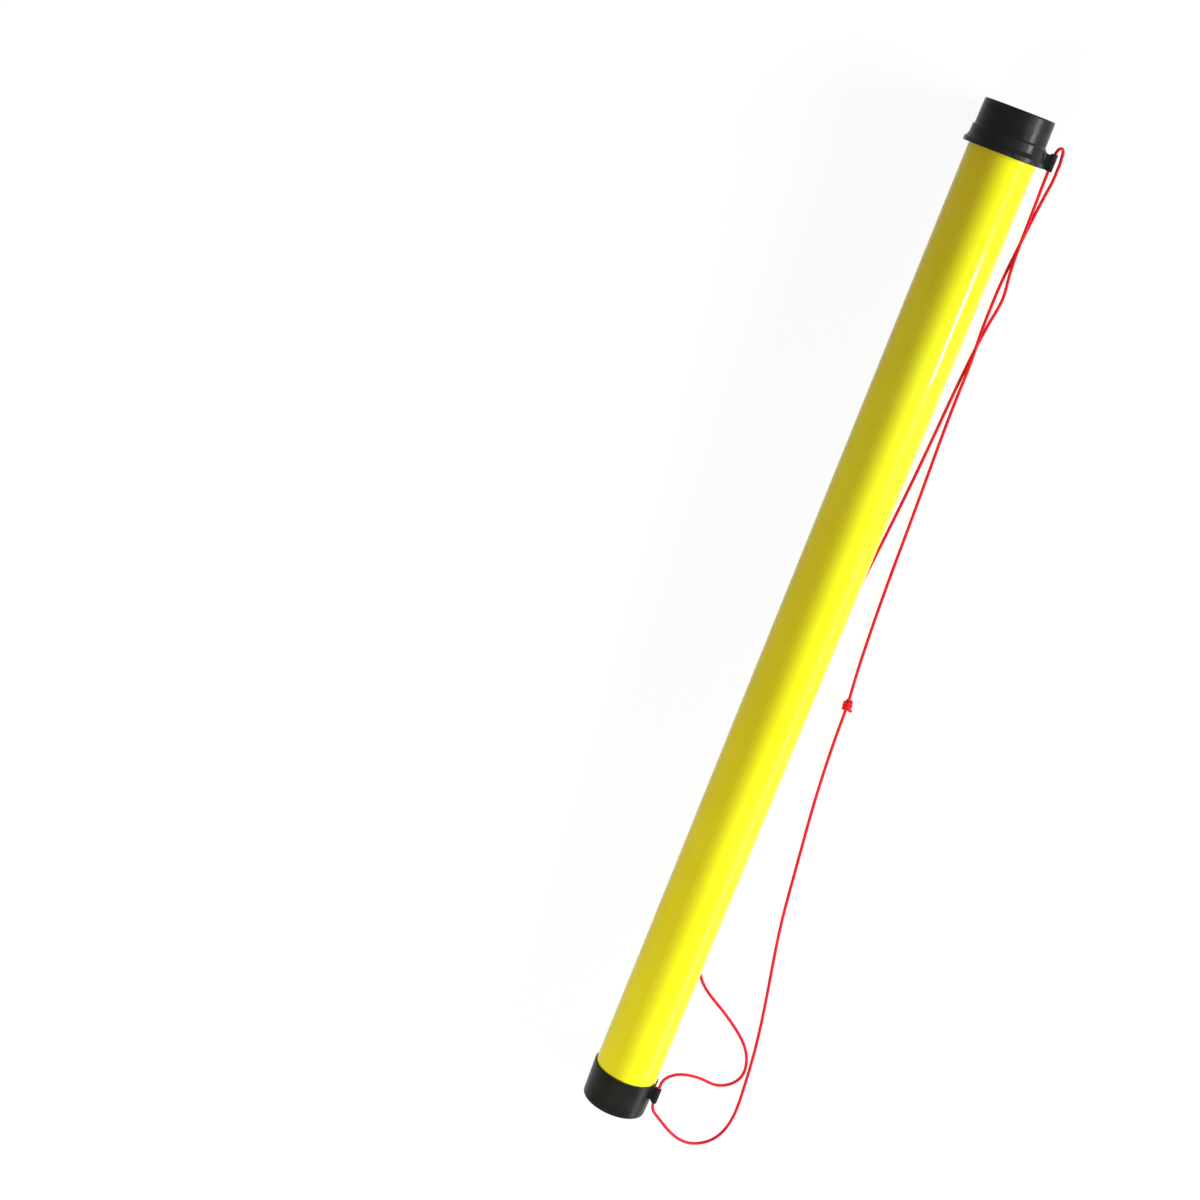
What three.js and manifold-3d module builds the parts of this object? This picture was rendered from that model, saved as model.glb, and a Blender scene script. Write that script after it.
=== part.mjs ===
// A ball pick-up tube, lying on its side: a long plastic tube with a mouth cap that is pressed
// over balls on the court, springy tongues that let a ball in and not out, a pull-off lid
// at the other end for emptying it, and a cord that runs through a lug on each cap.
//
// Millimetres. The tube's axis runs along Y, with the mouth towards -Y and the lid towards +Y,
// and the lid's lug points along +X. The part lies on z = 0, and the origin is under its middle.
import * as THREE from "three";
import { mergeVertices } from "three/addons/utils/BufferGeometryUtils.js";
import Module from "manifold-3d";

// Facets of every turned piece. Their flats face up, down and sideways.
const FACETS = 48;
const HALF_FACET = Math.PI / FACETS;
const ARC_STEPS = 3;

// Clearances
const SLIDING_CLEARANCE = 0.3;
const SEAT_GAP = 0.3;
const CUT_OVERRUN = 1;

// Tube
const TUBE_RADIUS = 36;
const TUBE_WALL = 1.2;
const TUBE_BARE_LENGTH = 1080;
const TUBE_EDGE_BREAK = 0.35;

// Lid, with heights measured up from its flange's lower face
const LID_HEIGHT = 46.4;
const LID_END_THICKNESS = 2;
const LID_END_ROUND = 1.8;
const LID_SKIRT_WALL = 1.5;
const LID_SKIRT_DRAFT = 0.4;
const LID_BAND_WALL = 3.1;
const LID_BAND_DRAFT = 0.3;
const LID_BAND_TOP = 18.6;
const LID_STEP_HEIGHT = 0.9;
const LID_FLANGE_OVERHANG = 6.8;
const LID_FLANGE_RIM = 5.4;
const LID_FLANGE_ROUND = 0.9;
const LID_FLARE_TOP = 9.6;
const LID_LEAD_IN = 0.6;

// Mouth cap, with depths measured down from its upper rim
const MOUTH_HEIGHT = 42.8;
const MOUTH_SLEEVE_WALL = 1.5;
const MOUTH_RIM_ROUND = 0.5;
const MOUTH_SOCKET_DEPTH = 20;
const MOUTH_STOP_THICKNESS = 1.6;
const MOUTH_RELIEF_DEPTH = 1.2;
const MOUTH_LIP_HEIGHT = 3;
const MOUTH_LIP_INSET = 0.3;
const MOUTH_LIP_WALL = 0.9;
const MOUTH_LIP_BREAK = 0.4;
const MOUTH_TAPER = 1.1;
const MOUTH_EDGE_HEIGHT = 2.6;

// Catch: a soft ring behind the mouth's lip, with a circle of tongues on its upper edge
const RING_WALL = 1.2;
const RING_HEIGHT = 6.2;
const TONGUE_COUNT = 8;
const TONGUE_THICKNESS = 0.9;
const TONGUE_LENGTH = 10;
const TONGUE_SLOT = 3;
const TONGUE_ROOT_ROUND = 2;
const TONGUE_TIP_ROUND = 3;
const TONGUE_LEAN = THREE.MathUtils.degToRad(35);

// Cord lug, the same on both caps, measured out from the cap's largest radius
const LUG_REACH = 9.8;
const LUG_BARREL_RADIUS = 3.05;
const LUG_BARREL_LENGTH = 18;
const LUG_RIB_HEIGHT = 0.3;
const LUG_RIB_COUNT = 12;
const LUG_RIB_STEPS = 4;
const LUG_HOLE_RADIUS = 2.05;
const LUG_HOLE_FACETS = 16;
const LUG_WEB_THICKNESS = 4.4;
const LUG_WEB_MARGIN = 0.4;
const LUG_WEB_DIP = 1.6;
const LUG_WEB_ROOT = 0.8;
const MOUTH_LUG_TURN = THREE.MathUtils.degToRad(25);

// Cord
const CORD_RADIUS = 1.7;
const CORD_SIDES = 8;
const KNOT_TURNS = 3;
const KNOT_LENGTH = 11;
const KNOT_RADIUS = 5.8;
const KNOT_TAIL_LENGTH = 8;
const KNOT_SIDES = 16;
const KNOT_TURN_STEPS = 4;

// Sizes that follow from the ones above
const TUBE_BORE = TUBE_RADIUS - TUBE_WALL;
const SOCKET_RADIUS = TUBE_RADIUS + SLIDING_CLEARANCE;
const LID_FLANGE_RADIUS = TUBE_RADIUS + LID_FLANGE_OVERHANG;
const MOUTH_RIM_RADIUS = SOCKET_RADIUS + MOUTH_SLEEVE_WALL;
const MOUTH_RELIEF_RADIUS = TUBE_BORE + MOUTH_RELIEF_DEPTH;
const MOUTH_LIP_RADIUS = TUBE_BORE - MOUTH_LIP_INSET;
const RING_RADIUS = MOUTH_RELIEF_RADIUS - SLIDING_CLEARANCE;
const LUG_HOLE_OFFSET = LUG_REACH - LUG_BARREL_RADIUS - LUG_RIB_HEIGHT;
const OVERALL_LENGTH = TUBE_BARE_LENGTH + LID_HEIGHT + MOUTH_HEIGHT;

// Places along the tube's axis
const LID_BASE = OVERALL_LENGTH / 2 - LID_HEIGHT;
const MOUTH_RIM = LID_BASE - TUBE_BARE_LENGTH;
const RING_BASE = MOUTH_RIM - MOUTH_HEIGHT + MOUTH_LIP_HEIGHT + SEAT_GAP;
const TONGUE_ROOT = RING_BASE + RING_HEIGHT + SEAT_GAP + TONGUE_THICKNESS / 2;

// The tube lies on the flat of its lid's flange, and the origin is under the middle of the whole.
const FLANGE_FLAT = LID_FLANGE_RADIUS * Math.cos(HALF_FACET);
const AXIS_X = (FLANGE_FLAT - LID_FLANGE_RADIUS - LUG_REACH) / 2;
const AXIS_Z = FLANGE_FLAT;

// The cord's route, chosen by hand: it stands in the row frame, and its ends meet in the lugs.
// The flange is wider than the mouth cap, so the surface under them rises slightly towards the
// mouth, and the cord that lies on it rises too.
// The plain strand leaves the lid's lug downwards, drops to the ground, crosses the other strand
// twice, runs under the tube's side, and comes out in a loop that climbs to the mouth's lug.
const PLAIN_STRAND = [
  [44.3, 547.05, 42.7],
  [44.3, 540.5, 42.7],
  [44.6, 530, 41],
  [45.6, 517, 35.2],
  [47, 504, 26.6],
  [48.6, 490, 17],
  [49.9, 472, 9.9],
  [51.2, 447, 6.2],
  [53.5, 424, 4.1],
  [56.3, 401, 2.55],
  [53.7, 378.1, 2.55],
  [51.1, 356.1, 2.6],
  [49.3, 334.1, 2.7],
  [47.3, 300.1, 2.9],
  [44, 222.2, 3.3],
  [34.4, 72.4, 4],
  [28.2, -9.4, 4.3],
  [23.2, -109.2, 4.8],
  [20.8, -218.8, 5.3],
  [21.2, -318.5, 5.8],
  [24.2, -378.3, 6],
  [31, -412.2, 6.2],
  [45.5, -431.6, 6.3],
  [69.4, -447.6, 6.4],
  [93.4, -464, 6.4],
  [111.8, -480.9, 6.5],
  [122.1, -500.8, 6.6],
  [121.9, -519.8, 6.7],
  [112.3, -531.7, 8.4],
  [98.9, -534.9, 14],
  [84.6, -530.1, 24.1],
  [69.9, -523.8, 37.7],
  [56, -520.8, 49.5],
  [44.8, -522.3, 57.6],
  [37.8, -527.6, 61],
  [35.2, -535, 61.4],
  [35.1, -543, 61.4],
  [35.1, -550.65, 61.4],
];

// The knotted strand leaves the lid's lug upwards, turns back over it and drops to the ground.
const UPPER_STRAND = [
  [44.3, 547.35, 42.7],
  [44.3, 554.7, 42.7],
  [45.1, 559.8, 41.5],
  [49.4, 563.5, 35.2],
  [52.4, 560.4, 30.4],
  [53.4, 555, 27.9],
  [54.2, 550.2, 26.3],
  [54.6, 542.5, 24.1],
  [54.9, 531, 21.3],
  [54.2, 519, 17.2],
  [53.2, 503, 11.6],
  [52.5, 486.5, 6.2],
  [51.3, 466, 2.9],
  [50, 446, 2.2],
  [48.5, 420, 2.5],
  [48.2, 390, 2.7],
  [48.7, 361.1, 5.6],
  [50, 339.1, 7],
  [51.1, 318.1, 5.6],
  [51.6, 297, 3.4],
  [52.2, 270, 3.1],
  [56.8, 160.3, 3.6],
  [59.9, 80.4, 4],
  [63.9, 8.6, 4.5],
  [67.6, -37.3, 5.5],
  [69.55, -57.95, 8.9],
];

// From the knot it runs on, past the mouth, and climbs in a wide loop to the mouth's lug.
const LOWER_STRAND = [
  [70.35, -69.55, 8.9],
  [71.5, -89.2, 5.5],
  [73.2, -119.1, 4.9],
  [79.2, -188.9, 5.2],
  [87.9, -260.7, 5.5],
  [96.9, -328.5, 5.8],
  [109.4, -394.3, 6.1],
  [119.1, -444.1, 6.3],
  [126.7, -493.9, 6.6],
  [130.9, -535.7, 6.8],
  [132.2, -562.6, 6.9],
  [128.6, -586.5, 7.1],
  [117.8, -605.4, 7.8],
  [103.3, -613, 12.2],
  [88, -610.6, 22.6],
  [72.8, -601.2, 35.6],
  [58, -588.4, 47.5],
  [45.5, -576.4, 57],
  [37.2, -567.5, 61],
  [35.1, -559.5, 61.4],
  [35.1, -550.95, 61.4],
];

// Materials
const YELLOW = new THREE.MeshStandardMaterial({
  color: 0xf0e81a,
  roughness: 0.18,
  metalness: 0,
});
const BLACK = new THREE.MeshStandardMaterial({
  color: 0x16171a,
  roughness: 0.35,
  metalness: 0,
});
const SOFT_BLACK = new THREE.MeshStandardMaterial({
  color: 0x202123,
  roughness: 0.7,
  metalness: 0,
});
const RED = new THREE.MeshStandardMaterial({
  color: 0xe02433,
  roughness: 0.75,
  metalness: 0,
});

const wasm = await Module();
wasm.setup();

// A closed geometry as a solid that can be joined and cut.
function solidOf(geometry) {
  const bare = geometry.clone();
  bare.deleteAttribute("normal");
  bare.deleteAttribute("uv");
  const merged = mergeVertices(bare);
  return new wasm.Manifold(
    new wasm.Mesh({
      numProp: 3,
      vertProperties: merged.attributes.position.array,
      triVerts: new Uint32Array(merged.index.array),
    }),
  );
}

// A solid back as a geometry.
function geometryOf(solid) {
  const mesh = solid.getMesh();
  const geometry = new THREE.BufferGeometry();
  geometry.setAttribute("position", new THREE.BufferAttribute(mesh.vertProperties, 3));
  geometry.setIndex(new THREE.BufferAttribute(mesh.triVerts, 1));
  geometry.computeVertexNormals();
  return geometry;
}

// A profile of [radius, place along the axis] turned about the tube's axis.
function turned(profile) {
  const points = profile.map(([radius, along]) => new THREE.Vector2(radius, along));
  return new THREE.LatheGeometry(points, FACETS, HALF_FACET);
}

// The points of an elliptical arc in a profile.
function arc(radius, along, across, high, from, to) {
  return Array.from({ length: ARC_STEPS + 1 }, (_, i) => {
    const angle = from + ((to - from) * i) / ARC_STEPS;
    return [radius + across * Math.cos(angle), along + high * Math.sin(angle)];
  });
}

const RIGHT = 0;
const UP = Math.PI / 2;
const DOWN = -Math.PI / 2;

// The tube reaches to the lid's end and to the stop inside the mouth cap.
function tubeGeometry() {
  const top = LID_BASE + LID_HEIGHT - LID_END_THICKNESS - SEAT_GAP;
  const bottom = MOUTH_RIM - MOUTH_SOCKET_DEPTH + SEAT_GAP;
  const edge = TUBE_EDGE_BREAK;
  const profile = [
    [TUBE_BORE + edge, bottom],
    [TUBE_RADIUS - edge, bottom],
    [TUBE_RADIUS, bottom + edge],
    [TUBE_RADIUS, top - edge],
    [TUBE_RADIUS - edge, top],
    [TUBE_BORE + edge, top],
    [TUBE_BORE, top - edge],
    [TUBE_BORE, bottom + edge],
    [TUBE_BORE + edge, bottom],
  ];
  return turned(profile);
}

// The lid's shell: flange, flare, thick band, step and thin skirt up to a closed flat end.
function lidShell() {
  const inside = LID_BASE + LID_HEIGHT - LID_END_THICKNESS;
  const end = LID_BASE + LID_HEIGHT;
  const skirt = SOCKET_RADIUS + LID_SKIRT_WALL;
  const skirtEnd = skirt - LID_SKIRT_DRAFT;
  const band = SOCKET_RADIUS + LID_BAND_WALL;
  const rim = LID_FLANGE_RADIUS - LID_FLANGE_ROUND;
  const rimTop = LID_BASE + LID_FLANGE_RIM;
  const profile = [
    [0, inside],
    [SOCKET_RADIUS, inside],
    [SOCKET_RADIUS, LID_BASE + LID_LEAD_IN],
    [SOCKET_RADIUS + LID_LEAD_IN, LID_BASE],
    ...arc(rim, LID_BASE + LID_FLANGE_ROUND, LID_FLANGE_ROUND, LID_FLANGE_ROUND, DOWN, RIGHT),
    ...arc(rim, rimTop - LID_FLANGE_ROUND, LID_FLANGE_ROUND, LID_FLANGE_ROUND, RIGHT, UP),
    [band + LID_BAND_DRAFT, LID_BASE + LID_FLARE_TOP],
    [band, LID_BASE + LID_BAND_TOP],
    [skirt, LID_BASE + LID_BAND_TOP + LID_STEP_HEIGHT],
    ...arc(skirtEnd - LID_END_ROUND, end - LID_END_ROUND, LID_END_ROUND, LID_END_ROUND, RIGHT, UP),
    [0, end],
  ];
  return solidOf(turned(profile));
}

// The mouth cap's shell: a socket for the tube, the stop under it, the relief that the tongues
// fold into, and a lip that draws in at the mouth and holds the catch ring.
function mouthShell() {
  const foot = MOUTH_RIM - MOUTH_HEIGHT;
  const stop = MOUTH_RIM - MOUTH_SOCKET_DEPTH;
  const lip = foot + MOUTH_LIP_HEIGHT;
  const low = MOUTH_RIM_RADIUS - MOUTH_TAPER;
  const across = low - MOUTH_LIP_RADIUS - MOUTH_LIP_WALL;
  const rimRound = MOUTH_RIM_ROUND;
  const profile = [
    [MOUTH_LIP_RADIUS, foot + MOUTH_LIP_BREAK],
    [MOUTH_LIP_RADIUS + MOUTH_LIP_BREAK, foot],
    ...arc(low - across, foot + MOUTH_EDGE_HEIGHT, across, MOUTH_EDGE_HEIGHT, DOWN, RIGHT),
    ...arc(MOUTH_RIM_RADIUS - rimRound, MOUTH_RIM - rimRound, rimRound, rimRound, RIGHT, UP),
    [SOCKET_RADIUS + rimRound, MOUTH_RIM],
    [SOCKET_RADIUS, MOUTH_RIM - rimRound],
    [SOCKET_RADIUS, stop],
    [TUBE_BORE, stop],
    [TUBE_BORE, stop - MOUTH_STOP_THICKNESS],
    [MOUTH_RELIEF_RADIUS, stop - MOUTH_STOP_THICKNESS],
    [MOUTH_RELIEF_RADIUS, lip],
    [MOUTH_LIP_RADIUS, lip],
    [MOUTH_LIP_RADIUS, foot + MOUTH_LIP_BREAK],
  ];
  return solidOf(turned(profile));
}

// A lug starts flush with the end of its cap that faces the bare tube, and stands up from 0.
// Its barrel is a circle with ribs round it, drawn out along the tube's axis.
function lugBarrel(hole) {
  const count = LUG_RIB_COUNT * LUG_RIB_STEPS;
  const outline = Array.from({ length: count }, (_, i) => {
    const angle = (2 * Math.PI * i) / count;
    const radius = LUG_BARREL_RADIUS + LUG_RIB_HEIGHT * Math.cos(LUG_RIB_COUNT * angle);
    return new THREE.Vector2(radius * Math.cos(angle), radius * Math.sin(angle));
  });
  const barrel = new THREE.ExtrudeGeometry(new THREE.Shape(outline), {
    depth: LUG_BARREL_LENGTH,
    bevelEnabled: false,
  });
  barrel.rotateX(-Math.PI / 2);
  barrel.translate(hole, 0, 0);
  return solidOf(barrel);
}

// The lug's web: a plate rooted in the wall, with a hollow in its far edge between the wall's
// face and the barrel's.
function lugWeb(face, hole) {
  const root = SOCKET_RADIUS + LUG_WEB_ROOT;
  const near = LUG_WEB_MARGIN;
  const far = LUG_BARREL_LENGTH - LUG_WEB_MARGIN;
  const barrelFace = hole - LUG_BARREL_RADIUS;
  const outline = new THREE.Shape();
  outline.moveTo(root, near);
  outline.lineTo(hole, near);
  outline.lineTo(hole, far);
  outline.lineTo(barrelFace, far);
  outline.quadraticCurveTo((barrelFace + face) / 2, far - 2 * LUG_WEB_DIP, face, far);
  outline.lineTo(root, far);
  outline.closePath();
  const web = new THREE.ExtrudeGeometry(outline, {
    depth: LUG_WEB_THICKNESS,
    bevelEnabled: false,
    curveSegments: 2 * ARC_STEPS,
  });
  web.translate(0, 0, -LUG_WEB_THICKNESS / 2);
  return solidOf(web);
}

// The hole through a lug, for the cord.
function lugHole(hole) {
  const length = LUG_BARREL_LENGTH + 2 * CUT_OVERRUN;
  const cut = new THREE.CylinderGeometry(LUG_HOLE_RADIUS, LUG_HOLE_RADIUS, length, LUG_HOLE_FACETS);
  cut.translate(hole, LUG_BARREL_LENGTH / 2, 0);
  return solidOf(cut);
}

// The lid's lug reaches out from the flange, and its web is rooted in the band above it.
function lidGeometry() {
  const hole = LID_FLANGE_RADIUS + LUG_HOLE_OFFSET;
  const place = (solid) => solid.translate([0, LID_BASE, 0]);
  const lug = lugBarrel(hole).add(lugWeb(SOCKET_RADIUS + LID_BAND_WALL, hole));
  return geometryOf(lidShell().add(place(lug)).subtract(place(lugHole(hole))));
}

// The mouth cap's lug hangs the other way, from its upper rim, and is turned up.
function mouthCapGeometry() {
  const hole = MOUTH_RIM_RADIUS + LUG_HOLE_OFFSET;
  const turn = THREE.MathUtils.radToDeg(MOUTH_LUG_TURN);
  const place = (solid) => solid.rotate([180, 0, 0]).translate([0, MOUTH_RIM, 0]).rotate([0, -turn, 0]);
  const lug = lugBarrel(hole).add(lugWeb(MOUTH_RIM_RADIUS, hole));
  return geometryOf(mouthShell().add(place(lug)).subtract(place(lugHole(hole))));
}

// The catch ring stands on the lip's inner face.
function ringGeometry() {
  const top = RING_BASE + RING_HEIGHT;
  const bore = RING_RADIUS - RING_WALL;
  return turned([
    [bore, RING_BASE],
    [RING_RADIUS, RING_BASE],
    [RING_RADIUS, top],
    [bore, top],
    [bore, RING_BASE],
  ]);
}

// Where a tongue bends: at the inner side of the ring's wall, just above its edge.
const TONGUE_HINGE_RADIUS = RING_RADIUS - RING_WALL + TONGUE_THICKNESS / 2;

// The sector that one tongue fills, seen along the axis, with rounded corners at both ends.
function tongueSector() {
  const root = TONGUE_HINGE_RADIUS + TONGUE_THICKNESS / 2;
  const inner = root - TONGUE_ROOT_ROUND;
  const tip = TONGUE_HINGE_RADIUS - TONGUE_LENGTH * Math.sin(TONGUE_LEAN) + TONGUE_THICKNESS / 2;
  const outer = tip + TONGUE_TIP_ROUND;
  const half = Math.PI / TONGUE_COUNT - TONGUE_SLOT / 2 / TONGUE_HINGE_RADIUS;
  const rootHalf = half - TONGUE_ROOT_ROUND / root;
  const tipHalf = half - TONGUE_TIP_ROUND / tip;
  const beyond = (RING_RADIUS + CUT_OVERRUN) / Math.cos(half);
  const at = (radius, angle) => [radius * Math.cos(angle), radius * Math.sin(angle)];
  const outline = new THREE.Shape();
  outline.moveTo(...at(beyond, -rootHalf));
  outline.lineTo(...at(beyond, rootHalf));
  outline.lineTo(...at(root, rootHalf));
  outline.quadraticCurveTo(...at(root, half), ...at(inner, half));
  outline.lineTo(...at(outer, half));
  outline.quadraticCurveTo(...at(tip, half), ...at(tip, tipHalf));
  outline.absarc(0, 0, tip, tipHalf, -tipHalf, true);
  outline.quadraticCurveTo(...at(tip, -half), ...at(outer, -half));
  outline.lineTo(...at(inner, -half));
  outline.quadraticCurveTo(...at(root, -half), ...at(root, -rootHalf));
  outline.closePath();
  const prism = new THREE.ExtrudeGeometry(outline, {
    depth: TONGUE_LENGTH + 2 * CUT_OVERRUN,
    bevelEnabled: false,
    curveSegments: 2 * ARC_STEPS,
  });
  prism.rotateX(-Math.PI / 2);
  prism.translate(0, TONGUE_ROOT - CUT_OVERRUN, 0);
  return solidOf(prism);
}

// A cone of all the tongues' wall, leaning in from the hinge line, cut to one sector.
function tongueGeometry(turn) {
  const half = TONGUE_THICKNESS / 2;
  const lean = TONGUE_LEAN;
  const at = (along, out) => [
    TONGUE_HINGE_RADIUS - along * Math.sin(lean) + out * Math.cos(lean),
    TONGUE_ROOT + along * Math.cos(lean) + out * Math.sin(lean),
  ];
  const cone = turned([
    at(0, -half),
    at(0, half),
    at(TONGUE_LENGTH - half, half),
    at(TONGUE_LENGTH, 0),
    at(TONGUE_LENGTH - half, -half),
    at(0, -half),
  ]);
  const tongue = solidOf(cone).intersect(tongueSector());
  return geometryOf(tongue.rotate([0, THREE.MathUtils.radToDeg(turn), 0]));
}

// A curve through a cord's points, with a ring of the tube at each of them.
class CordRoute extends THREE.CatmullRomCurve3 {
  constructor(points) {
    super(points.map((point) => new THREE.Vector3(...point)), false, "centripetal");
    this.steps = points.length - 1;
  }

  getUtoTmapping(share) {
    return share;
  }
}

// A many-sided circle in the plane of a section.
function roundSection(radius, sides) {
  return new THREE.Shape(
    Array.from({ length: sides }, (_, i) => {
      const angle = (2 * Math.PI * (i + 1 / 2)) / sides;
      return new THREE.Vector2(radius * Math.cos(angle), radius * Math.sin(angle));
    }),
  );
}

function strandGeometry(points) {
  const route = new CordRoute(points);
  return new THREE.ExtrudeGeometry(roundSection(CORD_RADIUS, CORD_SIDES), {
    steps: route.steps,
    extrudePath: route,
  });
}

// The knot: turns of the cord side by side round the strand, and one short tail.
function knotGeometry() {
  const turn = KNOT_LENGTH / KNOT_TURNS;
  const bulge = turn / 2;
  const profile = [new THREE.Vector2(0, -KNOT_LENGTH / 2)];
  for (let i = 0; i < KNOT_TURNS; i += 1) {
    const middle = (i + 1 / 2) * turn - KNOT_LENGTH / 2;
    for (let step = i ? 1 : 0; step <= KNOT_TURN_STEPS; step += 1) {
      const angle = DOWN + (Math.PI * step) / KNOT_TURN_STEPS;
      const radius = KNOT_RADIUS - bulge + bulge * Math.cos(angle);
      profile.push(new THREE.Vector2(radius, middle + bulge * Math.sin(angle)));
    }
  }
  profile.push(new THREE.Vector2(0, KNOT_LENGTH / 2));
  const body = solidOf(new THREE.LatheGeometry(profile, KNOT_SIDES, Math.PI / KNOT_SIDES));
  const tail = new THREE.CylinderGeometry(CORD_RADIUS, CORD_RADIUS, KNOT_TAIL_LENGTH, CORD_SIDES);
  tail.rotateZ(Math.PI / 3);
  tail.translate(KNOT_TAIL_LENGTH / 2, -turn, 0);
  return geometryOf(body.add(solidOf(tail)));
}

// Midway between the ends of the two strands that the knot joins, turned into their line.
function knotPlace() {
  const above = new THREE.Vector3(...UPPER_STRAND.at(-1));
  const below = new THREE.Vector3(...LOWER_STRAND.at(0));
  const along = above.clone().sub(below).normalize();
  return {
    position: above.add(below).multiplyScalar(1 / 2),
    quaternion: new THREE.Quaternion().setFromUnitVectors(new THREE.Vector3(0, 1, 0), along),
  };
}

function piece(name, geometry, material) {
  const mesh = new THREE.Mesh(geometry, material);
  mesh.name = name;
  return mesh;
}

const shells = new THREE.Group();
shells.position.set(AXIS_X, 0, AXIS_Z);
shells.add(
  piece("tube", tubeGeometry(), YELLOW),
  piece("lid", lidGeometry(), BLACK),
  piece("mouth_cap", mouthCapGeometry(), BLACK),
  piece("catch_ring", ringGeometry(), SOFT_BLACK),
);

for (let i = 0; i < TONGUE_COUNT; i += 1) {
  const turn = (2 * Math.PI * i) / TONGUE_COUNT;
  shells.add(piece(`catch_tongue_${i + 1}`, tongueGeometry(turn), SOFT_BLACK));
}

const cord = new THREE.Group();
const knot = piece("cord_knot", knotGeometry(), RED);
knot.position.copy(knotPlace().position);
knot.quaternion.copy(knotPlace().quaternion);
cord.add(
  piece("cord_plain_strand", strandGeometry(PLAIN_STRAND), RED),
  piece("cord_upper_strand", strandGeometry(UPPER_STRAND), RED),
  piece("cord_lower_strand", strandGeometry(LOWER_STRAND), RED),
  knot,
);

const ballTube = new THREE.Group();
ballTube.add(shells, cord);

export default ballTube;
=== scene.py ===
"""Dresses the ball pick-up tube and sets up the studio that it is shown in.

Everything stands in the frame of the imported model: +Y runs along the tube to the lid, -Y to the
mouth, +Z is up and +X is the side of the lid's cord lug. The pieces' sizes are in millimetres,
and a mesh is turned into metres when it is made. The finishes and the studio are in metres.
"""

import logging
import math
from dataclasses import dataclass, field
from enum import Enum
from typing import Iterable, Optional, Sequence, Union

import bpy
import numpy as np
from mathutils import Matrix, Vector


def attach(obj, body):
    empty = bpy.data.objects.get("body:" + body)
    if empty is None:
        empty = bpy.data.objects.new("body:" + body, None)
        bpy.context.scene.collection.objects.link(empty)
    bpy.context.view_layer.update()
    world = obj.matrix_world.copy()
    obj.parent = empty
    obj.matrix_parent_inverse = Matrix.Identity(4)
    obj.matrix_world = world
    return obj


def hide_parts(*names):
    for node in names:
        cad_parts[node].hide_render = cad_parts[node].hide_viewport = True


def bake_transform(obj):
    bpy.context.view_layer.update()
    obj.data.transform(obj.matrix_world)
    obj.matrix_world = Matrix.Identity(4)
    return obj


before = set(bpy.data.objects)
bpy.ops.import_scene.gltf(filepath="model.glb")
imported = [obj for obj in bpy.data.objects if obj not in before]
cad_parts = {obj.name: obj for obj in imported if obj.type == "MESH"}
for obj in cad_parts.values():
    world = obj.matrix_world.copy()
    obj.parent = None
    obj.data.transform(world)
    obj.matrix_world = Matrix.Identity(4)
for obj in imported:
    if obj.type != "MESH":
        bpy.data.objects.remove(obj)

LOG = logging.getLogger("pickup_tube")
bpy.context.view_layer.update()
MILLIMETRE = 0.001
FULL_TURN = 2 * math.pi
QUARTER_TURN = math.pi / 2
TINY = 1e-9
UP = np.array([0.0, 0.0, 1.0])
WHITE = (1.0, 1.0, 1.0)

# The tube's axis, which the tube, both caps and the catch share, and the caps' socket radius.
AXIS_X = -4.94618
AXIS_Z = 42.708
SOCKET = 36.3

Array = np.ndarray
Pair = tuple[float, float]
Point = tuple[float, float, float]
Colour = tuple[float, float, float]


# Surfaces


@dataclass(frozen=True)
class Skin:
    """One closed surface: its points in millimetres, its faces, and a chart for each corner."""

    points: Array
    quads: Array
    triangles: Array
    quad_chart: Array
    triangle_chart: Array

    def volume(self) -> float:
        """Sums up a sixth of a . (b x c) over the surface's triangles.

        Returns:
            The volume inside, which is negative where the faces point in.
        """
        halves = [self.quads[:, [0, 1, 2]], self.quads[:, [0, 2, 3]], self.triangles]
        corners = self.points[np.concatenate(halves)]
        across = np.cross(corners[:, 1], corners[:, 2])
        return float(np.einsum("ij,ij->", corners[:, 0], across)) / 6

    def outward(self) -> "Skin":
        """Turns every face over where the volume is negative.

        Returns:
            The same surface with its faces pointing out.
        """
        if self.volume() > 0:
            return self
        return Skin(
            self.points,
            self.quads[:, ::-1],
            self.triangles[:, ::-1],
            self.quad_chart[:, ::-1],
            self.triangle_chart[:, ::-1],
        )


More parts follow.
